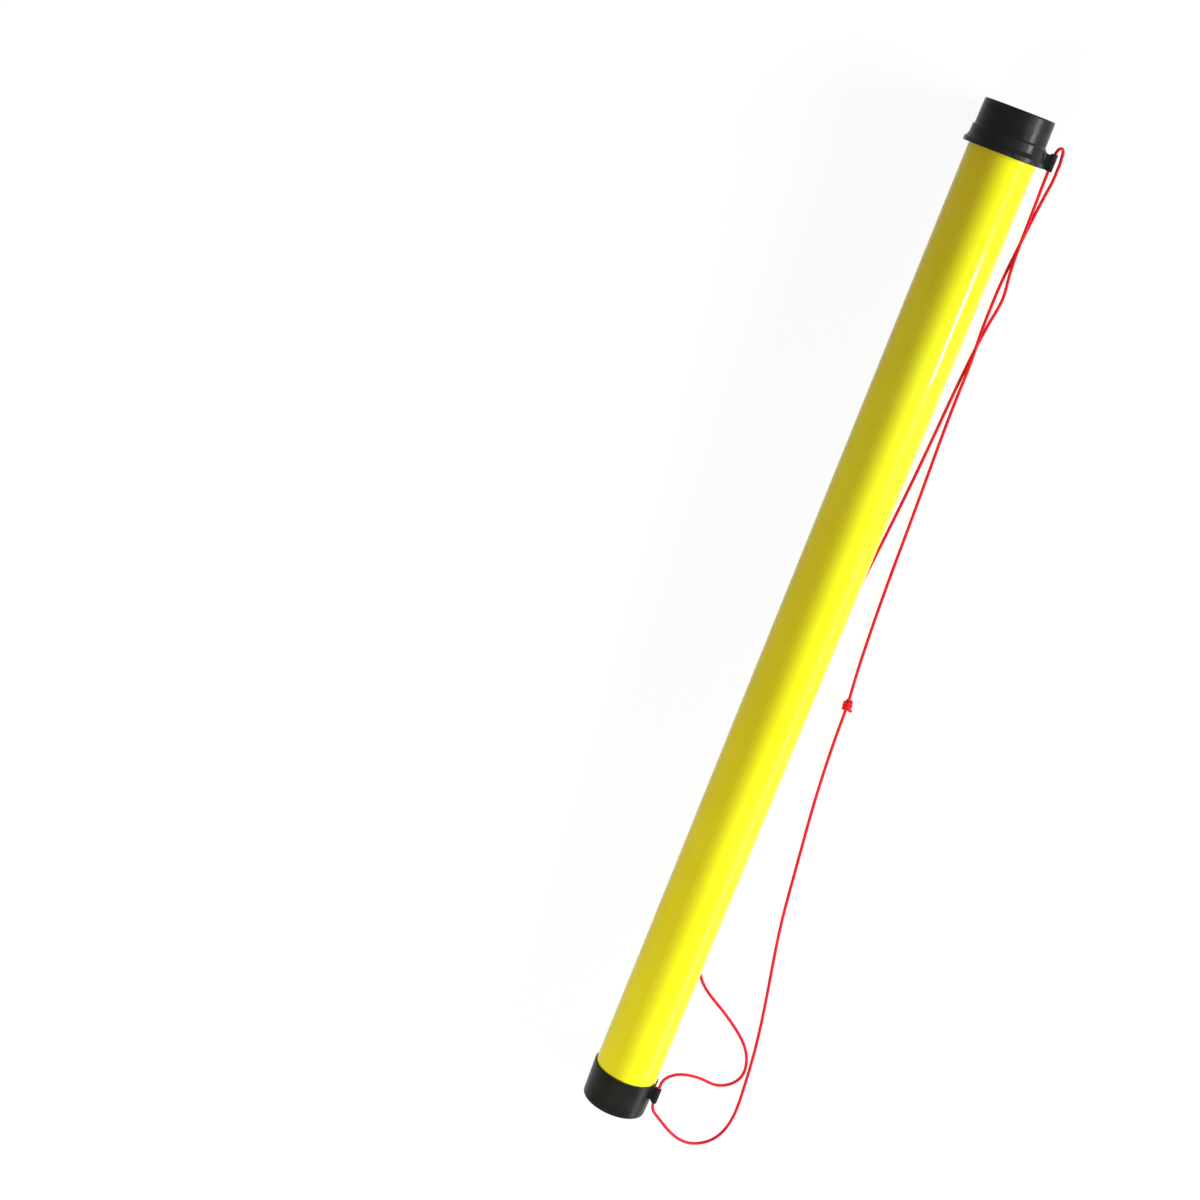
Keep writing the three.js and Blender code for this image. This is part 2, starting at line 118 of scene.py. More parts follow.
def closed_skin(
    grid: Array,
    poles: Optional[tuple[Array, Array]] = None,
    along: Optional[Array] = None,
) -> Skin:
    """Closes a grid of points into a skin: its columns wrap, and its rows wrap or end in poles.

    Args:
        grid: Points, as rows x columns x 3.
        poles: The two points that close the first and the last row, or None where rows wrap.
        along: The chart's first number for each row, or None for an even spread.

    Returns:
        The skin, facing outwards.
    """
    rows, columns = grid.shape[:2]
    if along is None:
        along = np.linspace(0.0, 1.0, rows)
    row = np.arange(rows if poles is None else rows - 1)[:, None]
    column = np.arange(columns)[None, :]
    below = (row + 1) % rows
    beside = (column + 1) % columns
    quads = np.stack(
        [
            row * columns + column,
            row * columns + beside,
            below * columns + beside,
            below * columns + column,
        ],
        axis=-1,
    ).reshape(-1, 4)
    near = np.broadcast_to(along[row], (len(row), columns))
    far = np.broadcast_to(along[below], (len(row), columns))
    left = np.broadcast_to(column / columns, near.shape)
    right = np.broadcast_to((column + 1) / columns, near.shape)
    chart = np.stack([near, left, near, right, far, right, far, left], axis=-1)
    points = grid.reshape(-1, 3)
    triangles = np.zeros((0, 3), int)
    fan_chart = np.zeros((0, 3, 2))
    if poles is not None:
        ring = np.arange(columns)
        after = (ring + 1) % columns
        last = (rows - 1) * columns
        count = len(points)
        first_fan = np.stack([np.full(columns, count), after, ring], axis=1)
        last_fan = np.stack([np.full(columns, count + 1), last + ring, last + after], axis=1)
        triangles = np.concatenate([first_fan, last_fan])
        points = np.concatenate([points, np.stack(poles)])
        ends = np.repeat(along[[0, -1]], columns)
        turn = np.tile(ring / columns, 2)
        fan_chart = np.stack([np.stack([ends, turn + s / columns], 1) for s in (0.5, 0, 1)], 1)
    return Skin(points, quads, triangles, chart.reshape(-1, 4, 2), fan_chart).outward()


def unit(vectors: Array) -> Array:
    """The vectors at length one."""
    return vectors / np.linalg.norm(vectors, axis=-1, keepdims=True)


def once_round(count: int) -> Array:
    """Angles in even steps once round, the last of which stops a step short."""
    return np.linspace(0.0, FULL_TURN, count, endpoint=False)


def length_run(path: Array) -> Array:
    """The length run along a path up to each of its points."""
    steps = np.linalg.norm(np.diff(path, axis=0), axis=1)
    return np.concatenate([[0.0], np.cumsum(steps)])


def smooth_step(values: Array) -> Array:
    """Eases each value from 0 to 1 by 3t^2 - 2t^3."""
    share = np.clip(values, 0.0, 1.0)
    return share * share * (3 - 2 * share)


def round_off(share: Array) -> Array:
    """Rises from 0 to 1 with the share, like the side of a circle: the root of 1 - (1 - t)^2."""
    return np.sqrt(1 - (1 - share) ** 2)


def rounded_profile(corners: Sequence[Pair], rounds: Sequence[float], closed: bool) -> Array:
    """Rounds a polygon's corners, and sets two spare points on each side near its ends.

    Each corner gives way to the circular arc that touches both its sides. The arc's centre
    stands on the corner's bisector at radius / sin(half the angle), and its points are swept
    between the two spokes to the sides. The spare points keep the flats flat when shaded.

    Args:
        corners: Distance from the axis and height of each corner.
        rounds: The radius that each corner is rounded to.
        closed: Whether the last corner joins the first. Else both are kept as they are.

    Returns:
        The profile's points, as n x 2.
    """
    arc_points = 7
    spare_gap = 0.6
    most_spare_share = 0.25
    least_radius = 1e-4
    most_cosine = 0.99999
    place = np.array(corners, float)
    radius = np.maximum(np.array(rounds, float)[:, None], least_radius)
    back = unit(np.roll(place, 1, axis=0) - place)
    ahead = unit(np.roll(place, -1, axis=0) - place)
    cosine = np.sum(back * ahead, axis=1, keepdims=True)
    angle = np.arccos(np.clip(cosine, -most_cosine, most_cosine))
    reach = radius / np.tan(angle / 2)
    centre = place + unit(back + ahead) * radius / np.sin(angle / 2)
    start = (place + back * reach - centre)[:, None]
    stop = (place + ahead * reach - centre)[:, None]
    sweep = (math.pi - angle)[:, None]
    share = np.linspace(0.0, 1.0, arc_points)[None, :, None]
    arcs = np.sin((1 - share) * sweep) * start + np.sin(share * sweep) * stop
    arcs = centre[:, None] + arcs / np.sin(sweep)
    leave = arcs[:, -1:]
    arrive = np.roll(arcs[:, :1], -1, axis=0)
    side = arrive - leave
    length = np.linalg.norm(side, axis=2, keepdims=True)
    inset = np.minimum(spare_gap / np.maximum(length, TINY), most_spare_share)
    extra = np.concatenate([leave + side * inset, arrive - side * inset], axis=1)
    outline = np.concatenate([arcs, extra], axis=1)
    if closed:
        return outline.reshape(-1, 2)
    inner = outline[1:-1].reshape(-1, 2)
    return np.concatenate([extra[0], inner[:-1]])


def wall_section(inner: float, outer: float, low: float, high: float, rounds: Pair) -> Array:
    """Draws the section of a straight round wall: a rectangle with rounded corners.

    Args:
        inner: The wall's inner radius.
        outer: The wall's outer radius.
        low: Where it starts along Y.
        high: Where it ends along Y.
        rounds: The rounding of its inner edges, and of its outer edges.

    Returns:
        The profile's points, as n x 2.
    """
    corners = [(inner, low), (outer, low), (outer, high), (inner, high)]
    inside, outside = rounds
    return rounded_profile(corners, (inside, outside, outside, inside), closed=True)


def about_axis(radius: Array, turn: Array, along: Array) -> Array:
    """Places points about the tube's axis: (axis x + r cos a, y, axis z - r sin a)."""
    side = AXIS_X + radius * np.cos(turn)
    return np.stack([side, along, AXIS_Z - radius * np.sin(turn)], axis=-1)


def revolved(profile: Array, columns: int = 256) -> Array:
    """Turns a profile (r, y) once round the tube's axis, as about_axis() places it.

    Args:
        profile: Distance from the axis and place along Y, as n x 2.
        columns: How many points go round.

    Returns:
        The grid of points, as n x columns x 3.
    """
    turn = once_round(columns)[None, :]
    along = np.broadcast_to(profile[:, 1:], (len(profile), columns))
    return about_axis(profile[:, :1], turn, along)


def capped_skin(grid: Array) -> Skin:
    """Closes a grid whose columns wrap, with a pole in the middle of each end row."""
    return closed_skin(grid, (grid[0].mean(axis=0), grid[-1].mean(axis=0)))


def smooth_route(points: Union[Sequence[Point], Array], step: float) -> Array:
    """Draws a smooth curve through a cord's points, with even steps.

    It is the cubic spline whose bend changes without a jump: between two points it is the
    cubic set by the second derivatives at both, and these come from one linear system. Its
    parameter is the length of the straight lines between the points.

    Args:
        points: The route's points.
        step: The distance between two points of the curve, about.

    Returns:
        The curve's points, as n x 3.
    """
    fine_step = 0.05
    knots = np.array(points, float)
    mark = length_run(knots)
    gaps = np.linalg.norm(np.diff(knots, axis=0), axis=1)
    slope = np.diff(knots, axis=0) / gaps[:, None]
    system = np.diag(np.concatenate([[1.0], 2 * (gaps[:-1] + gaps[1:]), [1.0]]))
    system += np.diag(np.concatenate([gaps[:-1], [0.0]]), -1)
    system += np.diag(np.concatenate([[0.0], gaps[1:]]), 1)
    bend = np.zeros_like(knots)
    bend[1:-1] = 6 * np.diff(slope, axis=0)
    bend = np.linalg.solve(system, bend)
    place = np.linspace(0.0, mark[-1], int(mark[-1] / fine_step))
    part = np.clip(np.searchsorted(mark, place, side="right") - 1, 0, len(gaps) - 1)
    gap = gaps[part][:, None]
    done = (place - mark[part])[:, None]
    left = gap - done
    curve = (bend[part] * left**3 + bend[part + 1] * done**3) / (6 * gap)
    curve += (knots[part] / gap - bend[part] * gap / 6) * left
    curve += (knots[part + 1] / gap - bend[part + 1] * gap / 6) * done
    run = length_run(curve)
    even = np.linspace(0.0, run[-1], int(round(run[-1] / step)) + 1)
    return np.stack([np.interp(even, run, curve[:, axis]) for axis in range(3)], axis=1)


def carried_frames(path: Array) -> tuple[Array, Array]:
    """Finds two directions square to a path at each of its points, with the least twist.

    The first guess is the direction square to the path and to one fixed direction, the one of
    a fan of them that the path keeps furthest from. Each guess is then carried to the next
    point by the least turn between the two tangents, the angle to the next guess is taken
    there, and the running sum of these angles turns the guesses back.

    Args:
        path: The path's points, as n x 3.

    Returns:
        The first direction and the second direction, each as n x 3.
    """
    fan_turn = np.linspace(0.1, 3.0, 12)
    fan_width = 0.6
    fan = np.stack([np.cos(fan_turn), np.sin(3 * fan_turn), np.sin(fan_turn)], axis=1)
    fan = unit(fan * (fan_width, fan_width, 1.0))
    tangent = unit(np.gradient(path, axis=0))
    chosen = fan[np.argmin(np.max(np.abs(tangent @ fan.T), axis=0))]
    first = unit(np.cross(tangent, chosen))
    second = np.cross(tangent, first)
    turn_axis = np.cross(tangent[:-1], tangent[1:])
    cosine = np.sum(tangent[:-1] * tangent[1:], axis=1, keepdims=True)
    lean = np.sum(turn_axis * first[:-1], axis=1, keepdims=True) / (1 + cosine)
    carried = first[:-1] * cosine + np.cross(turn_axis, first[:-1]) + turn_axis * lean
    twist = np.arctan2(np.sum(carried * second[1:], axis=1), np.sum(carried * first[1:], axis=1))
    total = np.concatenate([[0.0], np.cumsum(twist)])[:, None]
    settled = first * np.cos(total) + second * np.sin(total)
    return settled, np.cross(tangent, settled)


def swept_skin(path: Array, radius: float, sides: int, blunt: Pair = (0.0, 0.0)) -> Skin:
    """Carries a circle along a path and closes both ends.

    The point at turn a of the ring at p is p + r (first cos a + second sin a). Near a blunt end
    r falls away as round_off() says. The chart gives the length run and the turn.

    Args:
        path: The centre line, as n x 3.
        radius: The circle's radius.
        sides: How many points go round.
        blunt: The length over which each end rounds off, or 0 for a flat cut.

    Returns:
        The skin.
    """
    least_share = 0.02
    first, second = carried_frames(path)
    run = length_run(path)
    girth = np.full(len(path), radius)
    for length, distance in zip(blunt, (run, run[-1] - run)):
        if length > 0:
            share = np.clip(distance / length, least_share, 1.0)
            girth = np.minimum(girth, radius * round_off(share))
    turn = once_round(sides)[None, :, None]
    rings = first[:, None] * np.cos(turn) + second[:, None] * np.sin(turn)
    grid = path[:, None] + girth[:, None, None] * rings
    return closed_skin(grid, (path[0], path[-1]), run * MILLIMETRE)


def mesh_piece(
    name: str, skins: Iterable[Skin], finish: "Finish"
) -> bpy.types.Object:
    """Puts one or more skins into a mesh object at the origin.

    Args:
        name: The piece's name.
        skins: The closed surfaces that it is made of.
        finish: What it is dressed in.

    Returns:
        The object, linked to the scene.
    """
    skins = list(skins)
    starts = np.cumsum([0] + [len(skin.points) for skin in skins])
    points = np.concatenate([skin.points for skin in skins]) * MILLIMETRE
    quads = np.concatenate([skin.quads + start for skin, start in zip(skins, starts)])
    fans = np.concatenate([skin.triangles + start for skin, start in zip(skins, starts)])
    corners = np.concatenate([quads.ravel(), fans.ravel()]).astype(np.int32)
    sizes = np.concatenate([np.full(len(quads), 4), np.full(len(fans), 3)])
    begins = np.concatenate([[0], np.cumsum(sizes)[:-1]]).astype(np.int32)
    chart = np.concatenate(
        [skin.quad_chart.reshape(-1, 2) for skin in skins]
        + [skin.triangle_chart.reshape(-1, 2) for skin in skins]
    )
    mesh = bpy.data.meshes.new(name)
    mesh.vertices.add(len(points))
    mesh.vertices.foreach_set("co", points.astype(np.float32).ravel())
    mesh.loops.add(len(corners))
    mesh.loops.foreach_set("vertex_index", corners)
    mesh.polygons.add(len(sizes))
    mesh.polygons.foreach_set("loop_start", begins)
    mesh.polygons.foreach_set("use_smooth", np.ones(len(sizes), bool))
    layer = mesh.uv_layers.new(name="chart")
    layer.data.foreach_set("uv", chart.astype(np.float32).ravel())
    mesh.update(calc_edges=True)
    mesh.materials.append(finish.material())
    piece = bpy.data.objects.new(name, mesh)
    bpy.context.scene.collection.objects.link(piece)
    LOG.info("%s: %d faces", name, len(sizes))
    return piece


# Finishes


class Slot(Enum):
    """The record's material slots."""

    TUBE = "yellow_tube"
    CAPS = "black_cap"
    CATCH = "soft_catch"
    CORD = "red_cord"


class Maths(Enum):
    """The sums that the finishes use."""

    ADD = "ADD"
    TAKE = "SUBTRACT"
    TIMES = "MULTIPLY"
    MOST = "MAXIMUM"
    SIZE = "ABSOLUTE"
    SINE = "SINE"
    ROOT = "SQRT"


Value = Union[float, bpy.types.NodeSocket]


class Bench:
    """The bench that a material is put together on: it adds nodes and joins them."""

    # A mix node has sockets for each kind of value, and these are the ones for colours.
    mixed_inputs = (6, 7)
    mixed_output = 2

    def __init__(self, name: str) -> None:
        """Starts a material with nothing on it but its shader.

        Args:
            name: The material's name.
        """
        self.material = bpy.data.materials.new(name)
        self.material.use_nodes = True
        self.tree = self.material.node_tree
        self.tree.nodes.clear()
        self.shader = self.node("ShaderNodeBsdfPrincipled")
        output = self.node("ShaderNodeOutputMaterial")
        self.tree.links.new(self.shader.outputs["BSDF"], output.inputs["Surface"])
        self.object_place = self.node("ShaderNodeTexCoord").outputs["Object"]

    def node(self, kind: str, **settings: object) -> bpy.types.Node:
        """Adds a node and sets its properties.

        Args:
            kind: The node's type.
            **settings: Its properties by name.

        Returns:
            The node.
        """
        made = self.tree.nodes.new(kind)
        for name, value in settings.items():
            setattr(made, name, value)
        return made

    def feed(self, socket: bpy.types.NodeSocket, value: object) -> None:
        """Joins a socket to another, or gives it a plain value.

        Args:
            socket: The socket that takes the value.
            value: Another socket, a number or a colour.
        """
        if isinstance(value, bpy.types.NodeSocket):
            self.tree.links.new(value, socket)
        else:
            socket.default_value = value

    def set(self, **values: object) -> None:
        """Feeds the shader's sockets, named with _ for a space.

        Args:
            **values: What each socket takes.
        """
        for name, value in values.items():
            if isinstance(value, tuple) and len(value) == 3 and name.endswith(("Color", "Tint")):
                value = (*value, 1.0)
            self.feed(self.shader.inputs[name.replace("_", " ")], value)

    def sum(self, maths: Maths, first: Value, second: Value = 0.0) -> bpy.types.NodeSocket:
        """Works out one sum.

        Args:
            maths: Which one.
            first: Its first number.
            second: Its second number, where it takes two.

        Returns:
            The result's socket.
        """
        made = self.node("ShaderNodeMath", operation=maths.value)
        self.feed(made.inputs[0], first)
        self.feed(made.inputs[1], second)
        return made.outputs[0]

    def range(
        self, value: Value, low: float, high: float, out_low: float = 0.0, out_high: float = 1.0
    ) -> bpy.types.NodeSocket:
        """Eases a value from one range into another and holds it there.

        Args:
            value: The value.
            low: Where the result starts to change.
            high: Where it stops.
            out_low: The result up to low.
            out_high: The result from high on.

        Returns:
            The result's socket.
        """
        made = self.node("ShaderNodeMapRange", interpolation_type="SMOOTHSTEP")
        for socket, number in zip(made.inputs, (value, low, high, out_low, out_high)):
            self.feed(socket, number)
        return made.outputs[0]

    def stretched(self, scale: Point) -> bpy.types.NodeSocket:
        """Stretches the place on the object.

        Args:
            scale: The factor along each axis.

        Returns:
            The stretched place's socket.
        """
        made = self.node("ShaderNodeMapping")
        self.feed(made.inputs["Vector"], self.object_place)
        made.inputs["Scale"].default_value = scale
        return made.outputs[0]

    def noise(self, scale: Point, detail: float = 2.0) -> bpy.types.NodeSocket:
        """Scatters soft random spots.

        Args:
            scale: How many spots fit in a metre along each axis.
            detail: How many finer layers lie on them.

        Returns:
            The socket of a value about 0.5.
        """
        made = self.node("ShaderNodeTexNoise")
        self.feed(made.inputs["Vector"], self.stretched(scale))
        made.inputs["Scale"].default_value = 1.0
        made.inputs["Detail"].default_value = detail
        return made.outputs["Fac"]

    def mix(self, share: Value, first: object, second: object) -> bpy.types.NodeSocket:
        """Mixes two colours.

        Args:
            share: How much of the second there is.
            first: A colour or a socket.
            second: A colour or a socket.

        Returns:
            The mixed colour's socket.
        """
        made = self.node("ShaderNodeMix", data_type="RGBA")
        self.feed(made.inputs[0], share)
        for socket, value in zip(self.mixed_inputs, (first, second)):
            self.feed(made.inputs[socket], (*value, 1.0) if isinstance(value, tuple) else value)
        return made.outputs[self.mixed_output]

    def relief(
        self, height: Value, depth: float, under: Optional[bpy.types.NodeSocket] = None
    ) -> bpy.types.NodeSocket:
        """Raises the surface by a height.

        Args:
            height: The height, as a share of the depth.
            depth: The depth in metres.
            under: A relief that it lies on.

        Returns:
            The normal's socket.
        """
        made = self.node("ShaderNodeBump")
        self.feed(made.inputs["Height"], height)
        made.inputs["Distance"].default_value = depth
        made.inputs["Strength"].default_value = 1.0
        if under is not None:
            self.feed(made.inputs["Normal"], under)
        return made.outputs[0]

    def part(self, axis: str) -> bpy.types.NodeSocket:
        """Takes one number of the place on the object.

        Args:
            axis: Which one: X, Y or Z.

        Returns:
            The socket of the place along that axis, in metres.
        """
        made = self.node("ShaderNodeSeparateXYZ")
        self.feed(made.inputs[0], self.object_place)
        return made.outputs[axis]

    def from_axis(self) -> bpy.types.NodeSocket:
        """Works out how far a point is from the tube's axis: the root of x squared + z squared.

        Returns:
            The socket of the distance, in metres.
        """
        squares = []
        for axis, centre in (("X", AXIS_X), ("Z", AXIS_Z)):
            offset = self.sum(Maths.TAKE, self.part(axis), centre * MILLIMETRE)
            squares.append(self.sum(Maths.TIMES, offset, offset))
        return self.sum(Maths.ROOT, self.sum(Maths.ADD, *squares))


# The band in which most of a noise's values lie.
MIDDLE = (0.3, 0.7)


@dataclass(frozen=True)
class Finish:
    """What a piece is made of and how its surface looks, in metres.

    In every finish a field that ends in spots says how many spots of a noise fit in a metre
    along each axis, and one that ends in band says between which two values a mark comes in.
    """

    name: str
    colour: Colour
    roughness: float
    spread: Pair = (-0.05, 0.05)

    def material(self) -> bpy.types.Material:
        """The finish's material, made the first time that it is asked for."""
        known = bpy.data.materials.get(self.name)
        return known if known is not None else self.made()

    def made(self) -> bpy.types.Material:
        """Builds the material."""
        raise NotImplementedError

    def uneven(self, bench: Bench, value: Value, band: Pair = MIDDLE) -> bpy.types.NodeSocket:
        """Spreads the roughness about its middle as another value changes.

        Args:
            bench: The bench that the material is on.
            value: The value that it follows.
            band: Where that value starts and stops to matter.

        Returns:
            The roughness's socket.
        """
        down, up = self.spread
        return bench.range(value, *band, self.roughness + down, self.roughness + up)


@dataclass(frozen=True)
class ExtrudedGloss(Finish):
    """Glossy extruded plastic: faint lines along the tube, and rubs and scratches from use."""

    spread: Pair = (-0.03, 0.04)
    deep: Colour = (0.86, 0.76, 0.008)
    chalk: Colour = (0.95, 0.93, 0.42)
    specular: float = 0.05
    coat: float = 0.21
    coat_roughness: float = 0.05
    line_spots: Point = (620.0, 1.2, 620.0)
    line_tint: float = 0.35
    line_depth: float = 0.000010
    cloud_spots: Point = (9.0, 5.0, 9.0)
    cloud_band: Pair = (0.42, 0.98)
    rub_spots: Point = (42.0, 16.0, 42.0)
    rub_band: Pair = (0.56, 0.74)
    rub_dulling: float = 0.09
    thread_spots: Point = (95.0, 1500.0, 190.0)
    thread_band: Pair = (0.70, 0.76)
    scratch_spots: Point = (1300.0, 22.0, 1300.0)
    scratch_band: Pair = (0.69, 0.75)
    scratch_tint: float = 0.35
    scratch_dulling: float = 0.25
    scratch_depth: float = 0.00002
    ripple_spots: Point = (260.0, 120.0, 260.0)
    ripple_depth: float = 0.000012

    def made(self) -> bpy.types.Material:
        """Runs fine lines along Y, with dull rubs, and scratches along and across the tube.

        Returns:
            The material.
        """
        bench = Bench(self.name)
        lines = bench.noise(self.line_spots, detail=4.0)
        cloud = bench.noise(self.cloud_spots, detail=3.0)
        rubs = bench.range(bench.noise(self.rub_spots, detail=5.0), *self.rub_band)
        threads = bench.range(bench.noise(self.thread_spots, detail=1.0), *self.thread_band)
        scratches = bench.range(bench.noise(self.scratch_spots, detail=1.0), *self.scratch_band)
        worn = bench.sum(Maths.TIMES, bench.sum(Maths.MOST, threads, scratches), rubs)
        tint = bench.sum(Maths.ADD, bench.sum(Maths.TIMES, lines, self.line_tint), cloud)
        colour = bench.mix(bench.range(tint, *self.cloud_band), self.deep, self.colour)
        rough = self.uneven(bench, lines)
        for mark, dulling in ((rubs, self.rub_dulling), (worn, self.scratch_dulling)):
            rough = bench.sum(Maths.ADD, rough, bench.sum(Maths.TIMES, mark, dulling))
        skin = bench.relief(lines, self.line_depth)
        skin = bench.relief(bench.noise(self.ripple_spots, detail=1.0), self.ripple_depth, skin)
        bench.set(
            Base_Color=bench.mix(
                bench.sum(Maths.TIMES, worn, self.scratch_tint), colour, self.chalk
            ),
            Roughness=rough,
            Normal=bench.relief(worn, -self.scratch_depth, skin),
            IOR=1.5,
            Specular_IOR_Level=self.specular,
            Coat_Weight=self.coat,
            Coat_Roughness=self.coat_roughness,
        )
        return bench.material


@dataclass(frozen=True)
class MouldedSatin(Finish):
    """Satin moulded plastic: a fine spark-eroded grain, flow marks, and rubbed outer edges."""

    streak: Colour = (0.013, 0.013, 0.014)
    worn: Colour = (0.055, 0.055, 0.058)
    specular: float = 0.11
    grain_spots: Point = (2600.0,) * 3
    grain_depth: float = 0.000035
    flow_spots: Point = (30.0, 60.0, 30.0)
    patch_spots: Point = (230.0,) * 3
    patch_band: Pair = (0.46, 0.66)
    thread_spots: Point = (120.0, 1900.0, 250.0)
    thread_band: Pair = (0.70, 0.78)
    scuff_band: Pair = (0.5, 0.66)
    rim_band: Pair = (0.0422, 0.0427)
    foot_band: Pair = (-0.5833, -0.5846)
    rub_tint: float = 0.35
    rub_dulling: float = 0.12
    end_band: Pair = (0.5835, 0.5843)
    gate_radius: float = 0.0042
    gate_band: Pair = (0.0003, 0.0008)
    gate_depth: float = 0.0002

    def made(self) -> bpy.types.Material:
        """Rubs the flange's rim and the mouth's foot, and leaves a gate mark on the lid's end.

        Returns:
            The material.
        """
        bench = Bench(self.name)
        radius = bench.from_axis()
        place = bench.part("Y")
        flow = bench.noise(self.flow_spots, detail=4.0)
        rim = bench.range(radius, *self.rim_band)
        foot = bench.range(place, *self.foot_band)
        patches = bench.range(bench.noise(self.patch_spots, detail=5.0), *self.patch_band)
        rubbed = bench.sum(Maths.TIMES, bench.sum(Maths.MOST, rim, foot), patches)
        threads = bench.range(bench.noise(self.thread_spots, detail=1.0), *self.thread_band)
        scuffs = bench.sum(Maths.TIMES, threads, bench.range(flow, *self.scuff_band))
        marks = bench.sum(Maths.MOST, bench.sum(Maths.TIMES, rubbed, self.rub_tint), scuffs)
        colour = bench.mix(bench.range(flow, *MIDDLE), self.colour, self.streak)
        dulled = bench.sum(Maths.TIMES, marks, self.rub_dulling)
        ring = bench.sum(Maths.SIZE, bench.sum(Maths.TAKE, radius, self.gate_radius))
        ring = bench.range(ring, *self.gate_band, 1.0, 0.0)
        gate = bench.sum(Maths.TIMES, ring, bench.range(place, *self.end_band))
        skin = bench.relief(bench.noise(self.grain_spots, detail=3.0), self.grain_depth)
        bench.set(
            Base_Color=bench.mix(marks, colour, self.worn),
            Roughness=bench.sum(Maths.ADD, self.uneven(bench, flow), dulled),
            Normal=bench.relief(gate, -self.gate_depth, skin),
            IOR=1.5,
            Specular_IOR_Level=self.specular,
        )
        return bench.material


@dataclass(frozen=True)
class SoftRubber(Finish):
    """Dull soft rubber with a dusty bloom and a fine pebbled skin."""

    spread: Pair = (-0.08, 0.1)
    bloom: Colour = (0.062, 0.060, 0.058)
    sheen: float = 0.15
    cloud_spots: Point = (90.0,) * 3
    cloud_band: Pair = (0.38, 0.68)
    pebble_spots: Point = (3000.0,) * 3
    pebble_depth: float = 0.00005

    def made(self) -> bpy.types.Material:
        """Lays the bloom in clouds, over pebbles a third of a millimetre across.

        Returns:
            The material.
        """
        bench = Bench(self.name)
        cloud = bench.range(bench.noise(self.cloud_spots, detail=4.0), *self.cloud_band)
        bench.set(
            Base_Color=bench.mix(cloud, self.colour, self.bloom),
            Roughness=self.uneven(bench, cloud, (0.0, 1.0)),
            Normal=bench.relief(bench.noise(self.pebble_spots, detail=2.0), self.pebble_depth),
            IOR=1.48,
            Sheen_Weight=self.sheen,
            Sheen_Roughness=0.5,
        )
        return bench.material


@dataclass(frozen=True)
class PlaitedCord(Finish):
    """Plaited fibre cord: yarns cross in diamonds round it, with painted shade darkening the gaps
    between them, and fuzz on top.

    Each way round, a yarn from each carrier goes once round the cord in the length of the lay.
    """

    spread: Pair = (-0.1, 0.1)
    # Painted shade: the colour laid in the gaps where the yarns dip between their crossings.
    gap: Colour = (0.46, 0.004, 0.014)
    gap_shade_band: Pair = (0.0, 0.34)
    crest: Colour = (0.92, 0.026, 0.058)
    specular: float = 0.10
    sheen: float = 0.05
    sheen_colour: Colour = (1.0, 0.25, 0.25)
    carriers: float = 8.0
    lay: float = 0.0115
    yarn_depth: float = 0.00022
    fibre_spots: Point = (5200.0,) * 3
    fibre_share: float = 0.35
    dye_spots: Point = (38.0,) * 3

    def made(self) -> bpy.types.Material:
        """Raises the yarns on the cord's chart, which gives the length u and the turn v, and
        paints shade into the gaps between the crossings.

        Where they cross, the height is the root of |sin(pi n (v + u / lay)) sin(pi n (v - u /
        lay))|, where n is the number of carriers.

        Returns:
            The material.
        """
        bench = Bench(self.name)
        chart = bench.node("ShaderNodeUVMap", uv_map="chart")
        parts = bench.node("ShaderNodeSeparateXYZ")
        bench.feed(parts.inputs[0], chart.outputs[0])
        round_it = bench.sum(Maths.TIMES, parts.outputs["Y"], math.pi * self.carriers)
        run = bench.sum(Maths.TIMES, parts.outputs["X"], math.pi * self.carriers / self.lay)
        left = bench.sum(Maths.SINE, bench.sum(Maths.ADD, round_it, run))
        right = bench.sum(Maths.SINE, bench.sum(Maths.TAKE, round_it, run))
        crossing = bench.sum(Maths.SIZE, bench.sum(Maths.TIMES, left, right))
        fibres = bench.noise(self.fibre_spots, detail=3.0)
        fuzz = bench.sum(Maths.TIMES, fibres, self.fibre_share)
        height = bench.sum(Maths.ADD, bench.sum(Maths.ROOT, crossing), fuzz)
        dye = bench.range(bench.noise(self.dye_spots, detail=3.0), *MIDDLE)
        lit = bench.mix(dye, self.colour, self.crest)
        bench.set(
            # Painted shade: the gap colour darkens the cord where the crossing height is low.
            Base_Color=bench.mix(bench.range(crossing, *self.gap_shade_band), self.gap, lit),
            Roughness=self.uneven(bench, fibres),
            Normal=bench.relief(height, self.yarn_depth),
            IOR=1.45,
            Specular_IOR_Level=self.specular,
            Sheen_Weight=self.sheen,
            Sheen_Roughness=0.4,
            Sheen_Tint=self.sheen_colour,
        )
        return bench.material


YELLOW_TUBE = ExtrudedGloss("extruded_yellow", (0.92, 0.87, 0.022), 0.24)
BLACK_CAPS = MouldedSatin("moulded_black", (0.008, 0.0078, 0.0072), 0.28)
SOFT_CATCH = SoftRubber("soft_rubber", (0.026, 0.025, 0.024), 0.72)
RED_CORD = PlaitedCord("plaited_red", (0.82, 0.013, 0.038), 0.78)


# Pieces


@dataclass(frozen=True)
class Tube:
    """The extruded tube, from the stop in the mouth cap to the end of the lid."""

    radius: float = 36.0
    wall: float = 1.2
    foot: float = -561.5
    top: float = 582.3
    edge: float = 0.35
    columns: int = 320

    def build(self) -> list[bpy.types.Object]:
        """Turns the wall's section round the axis.

        Returns:
            The tube's piece.
        """
        bore = self.radius - self.wall
        section = wall_section(bore, self.radius, self.foot, self.top, (self.edge, self.edge))
        skin = closed_skin(revolved(section, self.columns))
        piece = mesh_piece("tube_wall", [skin], YELLOW_TUBE)
        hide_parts("tube")
        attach(piece, "tube")
        return [piece]


